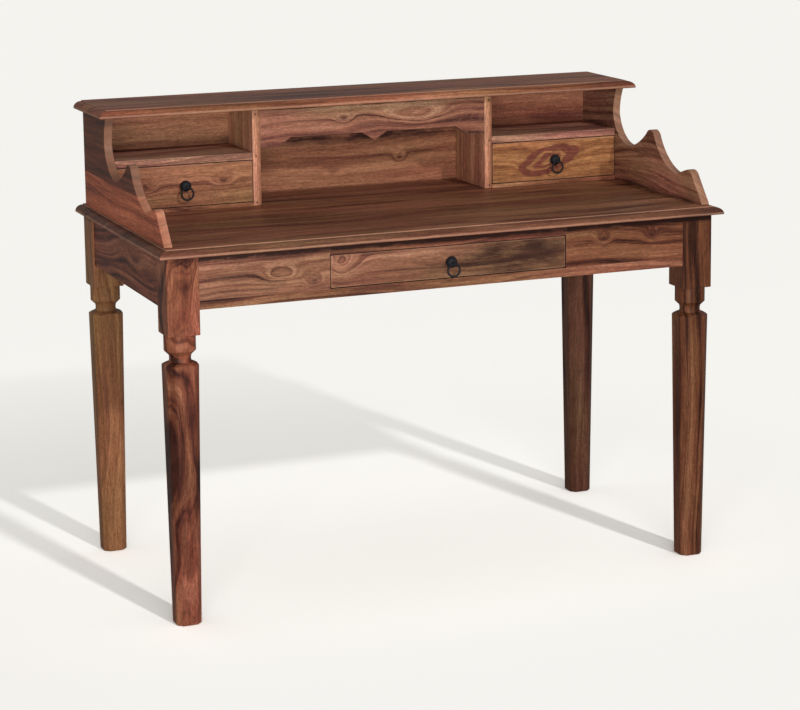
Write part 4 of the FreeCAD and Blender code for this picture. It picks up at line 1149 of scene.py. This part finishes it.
class DESK_OT_studio(bpy.types.Operator):
    """Pale floor, soft light and the camera of the photograph."""

    bl_idname = "desk.studio"
    bl_label = "Studio"

    def execute(self, context):
        studio = context.scene.desk_studio
        self.floor(studio)
        self.light(context, studio)
        self.camera(context, studio)
        return {"FINISHED"}

    @staticmethod
    def floor(studio):
        """A wide flat sheet of paper.

        Real light and shadow make up a share of what shows of it near the desk.
        The share falls as (2.4 m - y) / 2.5 m towards the back, and to nothing
        in front of the feet and farther off. The paper's own glow makes up the
        rest, so that the open floor and the backdrop have one colour. The answer
        to light is divided by 0.79 + 0.21 (5.3 m / d)^3, where d is the way to
        the wide lamp, so that the lamp's falling off doesn't show. It is a tenth
        weaker away from the desk, which shades the floor round itself.
        """
        reach, level = 40.0, -0.0002
        mesh = bpy.data.meshes.new("floor")
        mesh.from_pydata([(x * reach, y * reach, level) for x, y in ((-1, -1), (1, -1), (1, 1), (-1, 1))],
                         [], [(0, 1, 2, 3)])
        sheet = placed("floor", mesh)
        material = bpy.data.materials.new("paper_floor")
        material.use_nodes = True
        tree = material.node_tree
        tree.nodes.clear()
        place = node(tree, "ShaderNodeTexCoord", out="Object")
        away = vector("LENGTH", vector("SUBTRACT", place, tuple(studio.front_place)))
        lamp_way, lamp_share = 5.3, 0.21
        gain = studio.depth / (calc("POWER", lamp_way / away, 3.0) * lamp_share + (1 - lamp_share))
        off = vector("LENGTH", vector("SUBTRACT", place, (0.0, 0.1, 0.0)))
        gain = gain * ramp(off, 0.45, 1.2, 1.0, 0.87)
        lit = node(tree, "ShaderNodeAddShader", {
            0: node(tree, "ShaderNodeBsdfDiffuse", {"Color": studio.paper}),
            1: node(tree, "ShaderNodeBsdfDiffuse", {"Color": scaled(studio.paper[:3], gain - 1.0)})})
        back = split(place)[1]
        back_end, back_slope = 2.4, 0.4
        fading = calc("MULTIPLY", back_end - back, back_slope, clamp=True) * ramp(back, -0.8, -0.34)
        share = fading * ramp(vector("LENGTH", place), 1.6, 4.0, studio.shade, 0.0)
        glow = (1.0 - share * (studio.lit * studio.depth)) / (1.0 - share)
        plain = node(tree, "ShaderNodeEmission", {"Color": studio.paper, "Strength": glow})
        shown = node(tree, "ShaderNodeMixShader", {0: share, 1: plain, 2: lit})
        grey = tuple(0.55 * c for c in studio.paper[:3]) + (1.0,)
        bounce = node(tree, "ShaderNodeBsdfDiffuse", {"Color": grey})
        out = node(tree, "ShaderNodeMixShader", {0: seen_share(tree, studio), 1: bounce, 2: shown})
        node(tree, "ShaderNodeOutputMaterial", {0: out})
        mesh.materials.append(material)

    @staticmethod
    def lamp(name, kind, energy, way, place=(0.0, 0.0, 0.0), **settings):
        """A lamp at a place, with the way that points back towards it."""
        data = bpy.data.lights.new(name, kind)
        data.energy = energy
        for key, value in settings.items():
            setattr(data, key, value)
        lamp = placed(name, data)
        lamp.location = place
        lamp.rotation_mode = "QUATERNION"
        lamp.rotation_quaternion = Vector(way).to_track_quat("Z", "Y")

    def light(self, context, studio):
        """One soft key from the front right, a wide lamp in front, and a pale sky all round."""
        self.lamp("key", "SUN", studio.key, studio.key_way, angle=studio.key_softness)
        middle = Vector((0.0, 0.0, 0.6))
        self.lamp("softbox", "AREA", studio.front, Vector(studio.front_place) - middle, studio.front_place,
                  shape="RECTANGLE", size=4.0, size_y=1.6)
        world = bpy.data.worlds.new("studio")
        world.use_nodes = True
        tree = world.node_tree
        tree.nodes.clear()
        sky = node(tree, "ShaderNodeBackground", {0: (1.0, 0.985, 0.96, 1.0), 1: studio.fill})
        paper = node(tree, "ShaderNodeBackground", {0: studio.paper, 1: 1.0})
        out = node(tree, "ShaderNodeMixShader", {0: seen_share(tree, studio), 1: sky, 2: paper})
        node(tree, "ShaderNodeOutputWorld", {0: out})
        context.scene.world = world

    @staticmethod
    def camera(context, studio):
        """The camera looks along its heading and tilt; its columns are right, up and back."""
        heading, tilt, roll = studio.aim
        ahead = Vector((math.sin(heading) * math.cos(tilt), math.cos(heading) * math.cos(tilt), -math.sin(tilt)))
        level = Vector((math.cos(heading), -math.sin(heading), 0.0))
        upright = level.cross(ahead)
        right = level * math.cos(roll) + upright * math.sin(roll)
        up = upright * math.cos(roll) - level * math.sin(roll)
        lens = bpy.data.cameras.new("camera")
        lens.sensor_width = 36.0
        lens.lens = studio.lens
        lens.shift_x, lens.shift_y = studio.shift
        lens.clip_start, lens.clip_end = 0.05, 120.0
        camera = placed("camera", lens)
        turn = Matrix((right, up, -ahead)).transposed().to_4x4()
        camera.matrix_world = Matrix.Translation(Vector(studio.eye)) @ turn
        context.scene.camera = camera
        context.scene.view_settings.view_transform = "Standard"


class DESK_PT_panel(bpy.types.Panel):
    """Sizes, colours and building steps of the desk."""

    bl_idname = "DESK_PT_panel"
    bl_label = "Computer desk"
    bl_space_type = "VIEW_3D"
    bl_region_type = "UI"
    bl_category = "Desk"

    def draw(self, context):
        for operator in OPERATORS:
            self.layout.operator(operator.bl_idname)
        for owner in ("desk_shapes", "desk_wood", "desk_iron", "desk_studio"):
            group_values = getattr(context.scene, owner)
            box = self.layout.box()
            for key in group_values.bl_rna.properties.keys():
                if key not in ("rna_type", "name"):
                    box.prop(group_values, key)


GROUP_CLASSES = {"desk_shapes": DeskShapes, "desk_wood": DeskWood, "desk_iron": DeskIron, "desk_studio": DeskStudio}
OPERATORS = (DESK_OT_tops, DESK_OT_legs, DESK_OT_aprons, DESK_OT_hutch, DESK_OT_drawers, DESK_OT_pulls,
             DESK_OT_inside, DESK_OT_studio)


def register():
    """Add the desk's properties, operators and panel."""
    for cls in (*GROUP_CLASSES.values(), *OPERATORS, DESK_PT_panel):
        bpy.utils.register_class(cls)
    for name, cls in GROUP_CLASSES.items():
        setattr(bpy.types.Scene, name, bpy.props.PointerProperty(type=cls))


def unregister():
    """Take the desk's properties, operators and panel away again."""
    for name in GROUP_CLASSES:
        delattr(bpy.types.Scene, name)
    for cls in (DESK_PT_panel, *reversed(OPERATORS), *GROUP_CLASSES.values()):
        bpy.utils.unregister_class(cls)


def main():
    """Build every piece and the studio."""
    register()
    for operator in OPERATORS:
        group_name, step = operator.bl_idname.split(".")
        getattr(getattr(bpy.ops, group_name), step)()


if __name__ == "__main__":
    main()
